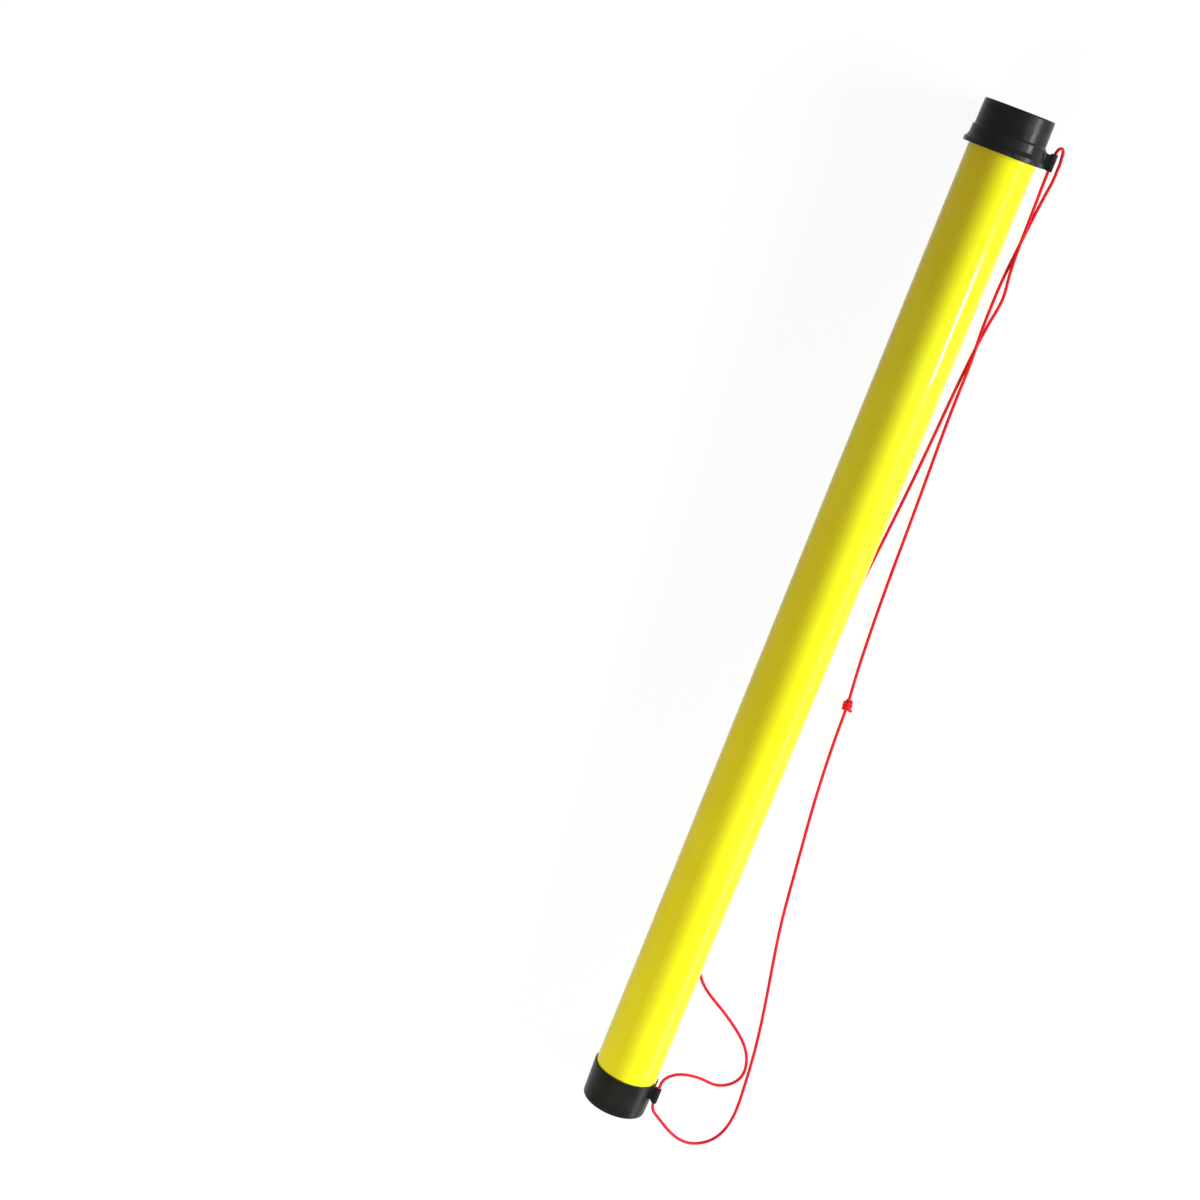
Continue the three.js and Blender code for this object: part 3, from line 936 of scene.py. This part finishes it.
@dataclass(frozen=True)
class Lug:
    """A cord lug: a ribbed barrel with a hole along it, on a web that grows out of its cap."""

    hole_place: float
    face: float
    socket: float = SOCKET
    barrel_radius: float = 3.05
    barrel_rounds: Pair = (0.35, 0.45)
    length: float = 18.0
    rib_height: float = 0.3
    rib_count: int = 12
    rib_columns: int = 16
    hole_radius: float = 2.05
    web_thickness: float = 4.4
    web_margin: float = 0.4
    web_root: float = 0.8
    web_end_gap: float = 0.25
    web_round: float = 0.55
    web_round_points: int = 6
    web_rows: int = 44
    dip: float = 1.6
    root_flare: float = 1.3
    root_reach: float = 0.7
    neck_flare: float = 0.35
    neck_reach: float = 0.5
    neck_start: float = 0.05
    neck_inset: float = 0.1

    def barrel(self) -> Array:
        """Draws the barrel as a grid of (out, along, across).

        Its profile is a rectangle between the hole and the outside, with rounded corners. At
        turn a the outside stands out by the rib height times cos(ribs x a), which fades away
        as the profile comes in to the hole.

        Returns:
            The grid.
        """
        profile = wall_section(
            self.hole_radius, self.barrel_radius, 0.0, self.length, self.barrel_rounds
        )
        columns = self.rib_count * self.rib_columns
        turn = once_round(columns)[None, :]
        base = profile[:, :1]
        edge = self.barrel_rounds[1]
        rib = self.rib_height * smooth_step((base - (self.barrel_radius - edge)) / edge)
        radius = base + rib * np.cos(self.rib_count * turn)
        along = np.broadcast_to(profile[:, 1:], radius.shape)
        out = self.hole_place + radius * np.cos(turn)
        return np.stack([out, along, radius * np.sin(turn)], axis=-1)

    def web(self) -> Array:
        """Draws the web as a grid of (out, along, across).

        Its section is a rectangle with rounded corners, carried outwards from inside the wall
        to inside the barrel. It thickens towards the wall and the barrel by flare e^(-d/reach),
        as a moulded fillet does, and its far edge dips between them by 4 dip t(1 - t).

        Returns:
            The grid.
        """
        last = self.hole_place - self.hole_radius - self.web_end_gap
        edge = self.hole_place - self.barrel_radius
        out = np.linspace(self.socket + self.web_root, last, self.web_rows)[:, None]
        share = np.clip((out - self.face) / (edge - self.face), 0.0, 1.0)
        low = self.web_margin
        high = self.length - self.web_margin - 4 * self.dip * share * (1 - share)
        half = self.web_thickness / 2
        half = half + self.root_flare * np.exp(-np.maximum(out - self.face, 0) / self.root_reach)
        half = half + self.neck_flare * np.exp(-np.maximum(edge - out, 0) / self.neck_reach)
        room = self.barrel_radius - self.neck_inset
        half = np.minimum(half, np.where(out > edge - self.neck_start, room, np.inf))
        spoke = np.linspace(0.0, QUARTER_TURN, self.web_round_points)
        fall = self.web_round * (1 - np.cos(spoke))[None]
        rise = self.web_round * (1 - np.sin(spoke))[None]
        corners = [
            (high - fall, half - rise),
            (low + rise, half - fall),
            (low + fall, rise - half),
            (high - rise, fall - half),
        ]
        shape = (len(out), len(spoke))
        along = np.concatenate([np.broadcast_to(c[0], shape) for c in corners], axis=1)
        across = np.concatenate([np.broadcast_to(c[1], shape) for c in corners], axis=1)
        return np.stack([np.broadcast_to(out, along.shape), along, across], axis=-1)

    def placed(self, grid: Array, flush: float, heading: float, turn: float) -> Array:
        """Stands a grid of (out, along, across) on its cap.

        Args:
            grid: The grid.
            flush: The place along Y of the end that lies flush with the cap's edge.
            heading: 1 if the lug runs from there towards the lid, -1 towards the mouth.
            turn: How far it is turned up from +X about the axis, in radians.

        Returns:
            The grid in the object's frame.
        """
        out, along, across = grid[..., 0], grid[..., 1], grid[..., 2]
        side = AXIS_X + out * math.cos(turn) - across * math.sin(turn)
        rise = AXIS_Z + out * math.sin(turn) + across * math.cos(turn)
        return np.stack([side, flush + heading * along, rise], axis=-1)

    def skins(self, flush: float, heading: float, turn: float) -> list[Skin]:
        """Closes the barrel and the web, placed as placed() says."""
        barrel, web = (self.placed(g, flush, heading, turn) for g in (self.barrel(), self.web()))
        return [closed_skin(barrel), capped_skin(web)]


@dataclass(frozen=True)
class Lid:
    """The pull-off lid: flange, flare, thick band, step, thin skirt and a closed flat end.

    The rounds are those of the section's corners, from the end's inside to its outside.
    """

    base: float = 538.2
    height: float = 46.4
    end_wall: float = 2.0
    socket: float = SOCKET
    lead_in: float = 0.6
    flange: float = 42.7
    flange_height: float = 5.4
    flare_inset: float = 1.15
    flare_start: float = 0.05
    flare_top: float = 9.6
    band: float = 39.4
    band_draft: float = 0.3
    band_top: float = 18.6
    step: float = 0.9
    skirt: float = 37.8
    skirt_draft: float = 0.4
    rounds: tuple[float, ...] = (0.0, 0.8, 0.25, 0.15, 0.9, 0.9, 0.5, 2.0, 0.9, 1.3, 1.8, 0.0)
    lug: Lug = field(default_factory=lambda: Lug(hole_place=49.25, face=39.45))

    def shell(self) -> Skin:
        """Turns the wall's section, which starts and ends on the axis.

        Returns:
            The shell's skin.
        """
        base, end = self.base, self.base + self.height
        inside = end - self.end_wall
        corners = [
            (0.0, inside),
            (self.socket, inside),
            (self.socket, base + self.lead_in),
            (self.socket + self.lead_in, base),
            (self.flange, base),
            (self.flange, base + self.flange_height),
            (self.flange - self.flare_inset, base + self.flange_height + self.flare_start),
            (self.band + self.band_draft, base + self.flare_top),
            (self.band, base + self.band_top),
            (self.skirt, base + self.band_top + self.step),
            (self.skirt - self.skirt_draft, end),
            (0.0, end),
        ]
        profile = rounded_profile(corners, self.rounds, closed=False)
        poles = [np.array([AXIS_X, place, AXIS_Z]) for place in (inside, end)]
        return closed_skin(revolved(profile), (poles[0], poles[1]))

    def build(self) -> list[bpy.types.Object]:
        """Joins the shell and its lug into one moulding.

        Returns:
            The lid's piece.
        """
        skins = [self.shell(), *self.lug.skins(self.base, 1.0, 0.0)]
        piece = mesh_piece("lid_moulding", skins, BLACK_CAPS)
        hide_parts("lid")
        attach(piece, "lid")
        return [piece]


@dataclass(frozen=True)
class MouthCap:
    """The mouth cap: a socket for the tube, its stop, the tongues' relief and the drawn-in lip.

    The rounds are those of the section's corners, from the lip round the outside to its top.
    """

    foot: float = -584.6
    height: float = 42.8
    socket: float = SOCKET
    socket_depth: float = 20.0
    stop_bore: float = 34.8
    stop_wall: float = 1.6
    relief: float = 36.0
    lip: float = 34.5
    lip_height: float = 3.0
    low: float = 36.7
    bevel: float = 0.75
    bevel_height: float = 1.7
    rim: float = 37.8
    rounds: tuple[float, ...] = (0.4, 0.6, 1.9, 0.5, 0.45, *(0.2,) * 6)
    lug_turn: float = math.radians(25.0)
    lug: Lug = field(default_factory=lambda: Lug(hole_place=44.25, face=37.8))

    def shell(self) -> Skin:
        """Turns the wall's section, which closes on itself.

        Returns:
            The shell's skin.
        """
        foot, top = self.foot, self.foot + self.height
        stop = top - self.socket_depth
        corners = [
            (self.lip, foot),
            (self.low - self.bevel, foot),
            (self.low, foot + self.bevel_height),
            (self.rim, top),
            (self.socket, top),
            (self.socket, stop),
            (self.stop_bore, stop),
            (self.stop_bore, stop - self.stop_wall),
            (self.relief, stop - self.stop_wall),
            (self.relief, foot + self.lip_height),
            (self.lip, foot + self.lip_height),
        ]
        return closed_skin(revolved(rounded_profile(corners, self.rounds, closed=True)))

    def build(self) -> list[bpy.types.Object]:
        """Joins the shell and its lug, which is turned up from the side.

        Returns:
            The mouth cap's piece.
        """
        skins = [self.shell(), *self.lug.skins(self.foot + self.height, -1.0, self.lug_turn)]
        piece = mesh_piece("mouth_cap_moulding", skins, BLACK_CAPS)
        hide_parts("mouth_cap")
        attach(piece, "tube")
        return [piece]


@dataclass(frozen=True)
class Catch:
    """The one-way catch: a soft ring on the mouth's lip, and tongues that lean in from it."""

    ring_radius: float = 35.7
    ring_wall: float = 1.2
    ring_base: float = -581.3
    ring_height: float = 6.2
    ring_rounds: Pair = (0.4, 0.3)
    count: int = 8
    thickness: float = 0.9
    least_half: float = 0.03
    length: float = 10.0
    end_gap: float = 0.02
    slot: float = 3.0
    root_round: float = 2.0
    root_ease: float = 0.5
    root_thinning: float = 0.25
    tip_round: float = 3.0
    lean: float = math.radians(35.0)
    seat_gap: float = 0.3
    rows: int = 46
    edge_points: int = 9
    face_points: int = 23

    def ring(self) -> bpy.types.Object:
        """Turns the ring's section, a tall rectangle with rounded corners.

        Returns:
            The ring's piece.
        """
        inner, top = self.ring_radius - self.ring_wall, self.ring_base + self.ring_height
        section = wall_section(inner, self.ring_radius, self.ring_base, top, self.ring_rounds)
        piece = mesh_piece("catch_band", [closed_skin(revolved(section))], SOFT_CATCH)
        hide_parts("catch_ring")
        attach(piece, "tube")
        return piece

    def tongue_section(self) -> tuple[Array, Array, Array]:
        """Draws a tongue's section, flat on both sides with half circles for edges.

        Returns:
            The share of the half width of each of its points, how far the point bulges past
            that, and its height, both as shares of half the thickness.
        """
        edge = np.linspace(-QUARTER_TURN, QUARTER_TURN, self.edge_points)
        flat = np.linspace(1.0, -1.0, self.face_points + 2)[1:-1]
        side, level = np.ones(self.edge_points), np.zeros(self.face_points)
        width = np.concatenate([side, flat, -side, -flat])
        bulge = np.concatenate([np.cos(edge), level, -np.cos(edge), level])
        height = np.concatenate([np.sin(edge), level + 1, -np.sin(edge), level - 1])
        return width, bulge, height

    def tongue_skin(self, turn: float) -> Skin:
        """Draws one tongue, a leaf of a cone.

        At length s from the hinge line the leaf's middle has the radius h - s sin(lean), and a
        height o over it adds o cos(lean) to the radius and o sin(lean) to the place along Y.
        Its half angle shrinks at both ends by corner (1 - q)^2, where q is the root of the
        share of the corner's rounding that is passed.

        Args:
            turn: The angle of the tongue's middle about the axis.

        Returns:
            The skin.
        """
        lean_in, lean_on = math.sin(self.lean), math.cos(self.lean)
        half_wall = self.thickness / 2
        hinge = self.ring_radius - self.ring_wall + half_wall
        root = self.ring_base + self.ring_height + self.seat_gap + half_wall
        rows = (1 - np.cos(np.linspace(0.0, math.pi, self.rows))) / 2
        along = rows * (self.length - self.end_gap)
        root_radius = hinge + half_wall
        tip_radius = hinge - self.length * lean_in + half_wall
        outer = root_radius - along * lean_in
        half = np.full(self.rows, math.pi / self.count - self.slot / 2 / hinge)
        for corner, radius, passed in (
            (self.root_round, root_radius, root_radius - outer),
            (self.tip_round, tip_radius, outer - tip_radius),
        ):
            share = np.sqrt(np.clip(passed / corner, 0.0, 1.0))
            half = half - corner / radius * (1 - share) ** 2
        tip = round_off(np.clip((self.length - along) / half_wall, 0.0, 1.0))
        base = round_off(np.clip(along / (self.root_ease * half_wall), 0.0, 1.0))
        wall = half_wall * tip * (1 - self.root_thinning * (1 - base))
        wall = np.maximum(wall, self.least_half)[:, None]
        width, bulge, height = self.tongue_section()
        over = wall * height
        radius = hinge - along[:, None] * lean_in + over * lean_on
        angle = turn + (half[:, None] - wall / radius) * width + wall * bulge / radius
        place = root + along[:, None] * lean_on + over * lean_in
        return capped_skin(about_axis(radius, angle, place))

    def build(self) -> list[bpy.types.Object]:
        """Makes the ring and each tongue, which rides on its own body.

        Returns:
            The catch's pieces.
        """
        pieces = [self.ring()]
        for number in range(1, self.count + 1):
            skin = self.tongue_skin(FULL_TURN * (number - 1) / self.count)
            leaf = mesh_piece(f"catch_leaf_{number}", [skin], SOFT_CATCH)
            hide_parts(f"catch_tongue_{number}")
            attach(leaf, f"tongue_{number}")
            pieces.append(leaf)
        return pieces


@dataclass(frozen=True)
class CarryCord:
    """The carrying cord: one knotted loop through both lugs, in three strands and a knot.

    The routes are the ones that the cord's solids follow. The tail's points are counted from
    the end of the last wrap: to the side, along the cord and up.
    """

    diameter: float = 3.4
    step: float = 0.8
    sides: int = 20
    wrap_radius: float = 3.4
    wrap_swell: float = 0.65
    wrap_pitch: float = 3.3
    wrap_turns: int = 3
    wrap_end: float = math.radians(270.0)
    wrap_step: float = math.radians(20.0)
    wrap_curve_step: float = 0.5
    core_overlap: float = 0.06
    core_points: int = 24
    core_slimming: float = 0.05
    tail: tuple[Point, ...] = (
        (2.4, 0.25, -0.05), (4.6, 0.8, -0.2), (6.2, 1.4, -0.3), (7.3, 1.9, -0.3),
    )
    tail_round: float = 1.2
    slack_start: Point = (0.0, -0.04, 0.0)
    slack_end: Point = (0.0, 0.52, 0.0)
    plain: tuple[Point, ...] = (
        (44.3, 547.05, 42.7), (44.3, 540.5, 42.7), (44.6, 530, 41), (45.6, 517, 35.2),
        (47, 504, 26.6), (48.6, 490, 17), (49.9, 472, 9.9), (51.2, 447, 6.2), (53.5, 424, 4.1),
        (56.3, 401, 2.55), (53.7, 378.1, 2.55), (51.1, 356.1, 2.6), (49.3, 334.1, 2.7),
        (47.3, 300.1, 2.9), (44, 222.2, 3.3), (34.4, 72.4, 4), (28.2, -9.4, 4.3),
        (23.2, -109.2, 4.8), (20.8, -218.8, 5.3), (21.2, -318.5, 5.8), (24.2, -378.3, 6),
        (31, -412.2, 6.2), (45.5, -431.6, 6.3), (69.4, -447.6, 6.4), (93.4, -464, 6.4),
        (111.8, -480.9, 6.5), (122.1, -500.8, 6.6), (121.9, -519.8, 6.7), (112.3, -531.7, 8.4),
        (98.9, -534.9, 14), (84.6, -530.1, 24.1), (69.9, -523.8, 37.7), (56, -520.8, 49.5),
        (44.8, -522.3, 57.6), (37.8, -527.6, 61), (35.2, -535, 61.4), (35.1, -543, 61.4),
        (35.1, -550.65, 61.4),
    )
    upper: tuple[Point, ...] = (
        (44.3, 547.35, 42.7), (44.3, 554.7, 42.7), (45.1, 559.8, 41.5), (49.4, 563.5, 35.2),
        (52.4, 560.4, 30.4), (53.4, 555, 27.9), (54.2, 550.2, 26.3), (54.6, 542.5, 24.1),
        (54.9, 531, 21.3), (54.2, 519, 17.2), (53.2, 503, 11.6), (52.5, 486.5, 6.2),
        (51.3, 466, 2.9), (50, 446, 2.2), (48.5, 420, 2.5), (48.2, 390, 2.7), (48.7, 361.1, 5.6),
        (50, 339.1, 7), (51.1, 318.1, 5.6), (51.6, 297, 3.4), (52.2, 270, 3.1),
        (56.8, 160.3, 3.6), (59.9, 80.4, 4), (63.9, 8.6, 4.5), (67.6, -37.3, 5.5),
        (69.55, -57.95, 8.9),
    )
    lower: tuple[Point, ...] = (
        (70.35, -69.55, 8.9), (71.5, -89.2, 5.5), (73.2, -119.1, 4.9), (79.2, -188.9, 5.2),
        (87.9, -260.7, 5.5), (96.9, -328.5, 5.8), (109.4, -394.3, 6.1), (119.1, -444.1, 6.3),
        (126.7, -493.9, 6.6), (130.9, -535.7, 6.8), (132.2, -562.6, 6.9), (128.6, -586.5, 7.1),
        (117.8, -605.4, 7.8), (103.3, -613, 12.2), (88, -610.6, 22.6), (72.8, -601.2, 35.6),
        (58, -588.4, 47.5), (45.5, -576.4, 57), (37.2, -567.5, 61), (35.1, -559.5, 61.4),
        (35.1, -550.95, 61.4),
    )

    def strand(
        self, name: str, node: str, route: Sequence[Point]
    ) -> tuple[bpy.types.Object, Array]:
        """Makes one strand along its route.

        Args:
            name: The piece's name.
            node: The solid that it stands for.
            route: The points that it passes through.

        Returns:
            The piece, and its centre line in metres.
        """
        path = smooth_route(route, self.step)
        skin = swept_skin(path, self.diameter / 2, self.sides)
        piece = mesh_piece(name, [skin], RED_CORD)
        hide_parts(node)
        return piece, path * MILLIMETRE

    def knot_paths(self) -> tuple[Array, Array]:
        """Draws the knot's two centre lines.

        The core runs straight from strand to strand. The wraps are a helix round it: at turn a
        they stand at r (cos a, sin a) across the core and sink by the pitch each turn, where r
        is the wrap radius, and more by the swell times cos^2 in the middle. They grow out of
        the core over a quarter turn and end under it, in a stub of a tail.

        Returns:
            The core and the wraps, each as n x 3.
        """
        above, below = np.array(self.upper[-1], float), np.array(self.lower[0], float)
        middle, down = (above + below) / 2, unit(below - above)
        side = unit(np.cross(UP, down))
        side = side if side[0] > 0 else -side
        reach = np.linspace(-self.core_overlap, 1 + self.core_overlap, self.core_points)
        core = above + (below - above) * reach[:, None]
        start = self.wrap_end - FULL_TURN * self.wrap_turns - QUARTER_TURN
        # The last step, to the wraps' end, isn't shorter than a quarter of a step.
        turn = np.arange(start, self.wrap_end - self.wrap_step / 4, self.wrap_step)
        turn = np.append(turn, self.wrap_end)
        swing = (turn - (start + self.wrap_end + QUARTER_TURN) / 2) / FULL_TURN
        swell = self.wrap_swell * np.cos(math.pi * swing / self.wrap_turns) ** 2
        radius = (self.wrap_radius + swell) * smooth_step((turn - start) / QUARTER_TURN)
        across = np.stack([np.cos(turn), np.sin(turn)], axis=1) * radius[:, None]
        helix = middle + down * (self.wrap_pitch * swing)[:, None] + across @ np.stack([side, UP])
        tail = helix[-1] + np.array(self.tail) @ np.stack([side, down, UP])
        wraps = smooth_route(np.concatenate([helix, tail]), self.wrap_curve_step)
        return core, wraps

    def knot(self) -> bpy.types.Object:
        """Makes the knot from its core and its wraps, whose tail is cut and melted round.

        Returns:
            The knot's piece.
        """
        core, wraps = self.knot_paths()
        radius = self.diameter / 2
        skins = [
            swept_skin(core, radius - self.core_slimming, self.sides),
            swept_skin(wraps, radius, self.sides, (0.0, self.tail_round)),
        ]
        piece = mesh_piece("knot_wraps", skins, RED_CORD)
        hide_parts("cord_knot")
        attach(piece, "tube")
        return piece

    def build(self) -> list[bpy.types.Object]:
        """Makes the three strands and the knot.

        The two strands at the lid stay where they are made. The third rides with the tube.

        Returns:
            The cord's pieces.
        """
        knot = self.knot()
        plain, plain_path = self.strand("cord_plain_run", "cord_plain_strand", self.plain)
        upper, upper_path = self.strand("cord_upper_run", "cord_upper_strand", self.upper)
        lower, lower_path = self.strand("cord_lower_run", "cord_lower_strand", self.lower)
        for piece in (plain, upper):
            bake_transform(piece)
        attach(lower, "tube")
        return [plain, upper, lower, knot]


# Studio


@dataclass(frozen=True)
class Lamp:
    """A soft box: a glowing rectangle that faces a point.

    A box that lights isn't mirrored in the object, and one that is mirrored doesn't light it,
    so that the light and the highlights are set apart from each other.
    """

    name: str
    place: Point
    aim: Point
    size: Pair
    power: float
    colour: Colour = WHITE
    mirrored: bool = False

    def build(self) -> None:
        """Hangs the lamp at its place, turned to its aim."""
        light = bpy.data.lights.new(self.name, "AREA")
        light.shape = "RECTANGLE"
        light.size, light.size_y = self.size
        light.energy = self.power
        light.color = self.colour
        lamp = bpy.data.objects.new(self.name, light)
        lamp.location = self.place
        facing = Vector(self.aim) - Vector(self.place)
        lamp.rotation_euler = facing.to_track_quat("-Z", "Y").to_euler()
        lamp.visible_camera = False
        lamp.visible_glossy = self.mirrored
        lamp.visible_diffuse = not self.mirrored
        bpy.context.scene.collection.objects.link(lamp)


@dataclass(frozen=True)
class Studio:
    """The floor that the object lies on, the light on it, and the camera, in metres."""

    camera_place: Point = (-0.2222, 0.55587, 2.35368)
    camera_tilt: float = math.radians(-14.546)
    camera_roll: float = math.radians(20.973)
    lens: float = 66.90
    sensor: float = 36.0
    clip: Pair = (0.01, 60.0)
    floor_half: float = 7.0
    floor_lines: int = 57
    floor_slope: float = 0.0046134
    floor_level_at: float = 0.5391
    paper_spots: Point = (14.0,) * 3
    paper_dark: Colour = (0.70,) * 3
    paper_light: Colour = (0.74,) * 3
    paper_seen: Colour = (0.14,) * 3
    glow: float = 0.925
    glow_far: float = 1.0
    glow_band: Pair = (0.9, 2.5)
    glow_colour: Colour = (0.97, 0.975, 1.0)
    ambient: float = 0.18
    ambient_colour: Colour = (1.0, 0.66, 0.45)
    lamps: tuple[Lamp, ...] = (
        Lamp("key", (6.0, 0.6, 1.95), (0.0, 0.0, 0.04), (4.0, 2.5), 785.0, (0.785, 1.0, 0.90)),
        Lamp("fill", (-0.6, -1.4, 1.5), (0.0, -0.4, 0.04), (0.9, 0.9), 25.0, (0.91, 0.91, 0.66)),
        Lamp("lid_box", (1.75, 0.92, 1.4), (0.0, 0.56, 0.05), (0.55, 1.4), 14.0, mirrored=True),
        Lamp("lid_strip", (2.0, 0.70, 0.88), (0.0, 0.56, 0.08), (0.20, 0.12), 14.0, mirrored=True),
        Lamp("strip", (2.0, 0.19, 0.94), (0.03, 0.37, 0.08), (0.26, 0.10), 38.0, mirrored=True),
        Lamp("sheen", (1.95, -1.0, 0.32), (0.0, -1.0, 0.04), (1.5, 0.6), 14.0, mirrored=True),
    )

    def camera(self) -> None:
        """Puts the camera where the photograph was taken from."""
        lens = bpy.data.cameras.new("photo_camera")
        lens.lens = self.lens
        lens.sensor_width = self.sensor
        lens.clip_start, lens.clip_end = self.clip
        camera = bpy.data.objects.new("photo_camera", lens)
        tilt = Matrix.Rotation(self.camera_tilt, 4, "X")
        roll = Matrix.Rotation(self.camera_roll, 4, "Z")
        camera.matrix_world = Matrix.Translation(self.camera_place) @ tilt @ roll
        bpy.context.scene.collection.objects.link(camera)
        bpy.context.scene.camera = camera

    def floor(self) -> None:
        """Lays the floor, which rises to the mouth so that both caps and the cord rest on it.

        Its height is slope x (level place - y).
        """
        side = np.linspace(-self.floor_half, self.floor_half, self.floor_lines)
        across, along = np.meshgrid(side, side, indexing="ij")
        level = self.floor_slope * (self.floor_level_at - along)
        points = np.stack([across, along, level], axis=-1).reshape(-1, 3)
        count = self.floor_lines
        row, column = np.meshgrid(np.arange(count - 1), np.arange(count - 1), indexing="ij")
        start = row * count + column
        quads = np.stack([start, start + count, start + count + 1, start + 1], axis=-1)
        mesh = bpy.data.meshes.new("floor")
        mesh.from_pydata(points.tolist(), [], quads.reshape(-1, 4).tolist())
        mesh.materials.append(self.floor_material())
        floor = bpy.data.objects.new("floor", mesh)
        bpy.context.scene.collection.objects.link(floor)

    @staticmethod
    def seen(tree: bpy.types.NodeTree) -> bpy.types.NodeSocket:
        """Tells what the eye, a reflection or clear glass sees from what light alone reaches.

        Args:
            tree: The node tree that asks.

        Returns:
            The socket of a value that is 1 where it is seen, else 0.
        """
        path = tree.nodes.new("ShaderNodeLightPath")
        total = path.outputs["Is Camera Ray"]
        for name in ("Is Glossy Ray", "Is Transmission Ray"):
            most = tree.nodes.new("ShaderNodeMath")
            most.operation = "MAXIMUM"
            tree.links.new(total, most.inputs[0])
            tree.links.new(path.outputs[name], most.inputs[1])
            total = most.outputs[0]
        return total

    def floor_material(self) -> bpy.types.Material:
        """White paper that lights the object from below, and glows for the eye alone.

        The eye sees darker paper under the glow, so that the floor is just white and keeps
        the object's shadow. The glow grows further out, where the lamps' light fades.

        Returns:
            The material.
        """
        bench = Bench("white_floor")
        seen = self.seen(bench.tree)
        paper = bench.noise(self.paper_spots, detail=3.0)
        paper = bench.mix(paper, self.paper_dark, self.paper_light)
        far = bench.node("ShaderNodeVectorMath", operation="LENGTH")
        bench.feed(far.inputs[0], bench.object_place)
        glow = bench.range(far.outputs["Value"], *self.glow_band, self.glow, self.glow_far)
        bench.set(
            Base_Color=bench.mix(seen, paper, self.paper_seen),
            Roughness=0.9,
            Specular_IOR_Level=0.1,
            Emission_Color=self.glow_colour,
            Emission_Strength=bench.sum(Maths.TIMES, seen, glow),
        )
        return bench.material

    def world(self) -> None:
        """A pale room: plain even light on the object, and white behind it for the eye."""
        world = bpy.data.worlds.new("pale_room")
        world.use_nodes = True
        tree = world.node_tree
        tree.nodes.clear()
        mix = tree.nodes.new("ShaderNodeMixShader")
        tree.links.new(self.seen(tree), mix.inputs[0])
        shades = ((self.ambient_colour, self.ambient), (WHITE, 1.0))
        for number, (colour, strength) in enumerate(shades, start=1):
            shade = tree.nodes.new("ShaderNodeBackground")
            shade.inputs["Color"].default_value = (*colour, 1.0)
            shade.inputs["Strength"].default_value = strength
            tree.links.new(shade.outputs[0], mix.inputs[number])
        output = tree.nodes.new("ShaderNodeOutputWorld")
        tree.links.new(mix.outputs[0], output.inputs["Surface"])
        bpy.context.scene.world = world

    def build(self) -> None:
        """Sets up the camera, the floor, the room and the lamps."""
        bpy.context.scene.view_settings.view_transform = "Standard"
        self.camera()
        self.floor()
        self.world()
        for lamp in self.lamps:
            lamp.build()


def main() -> None:
    """Builds the studio and each sub-assembly in turn."""
    logging.basicConfig(level=logging.INFO, format="%(name)s: %(message)s")
    Studio().build()
    for assembly in (CarryCord(), Tube(), Lid(), MouthCap(), Catch()):
        for piece in assembly.build():
            LOG.info("%s: %s", type(assembly).__name__, piece.name)


if __name__ == "__main__":
    main()
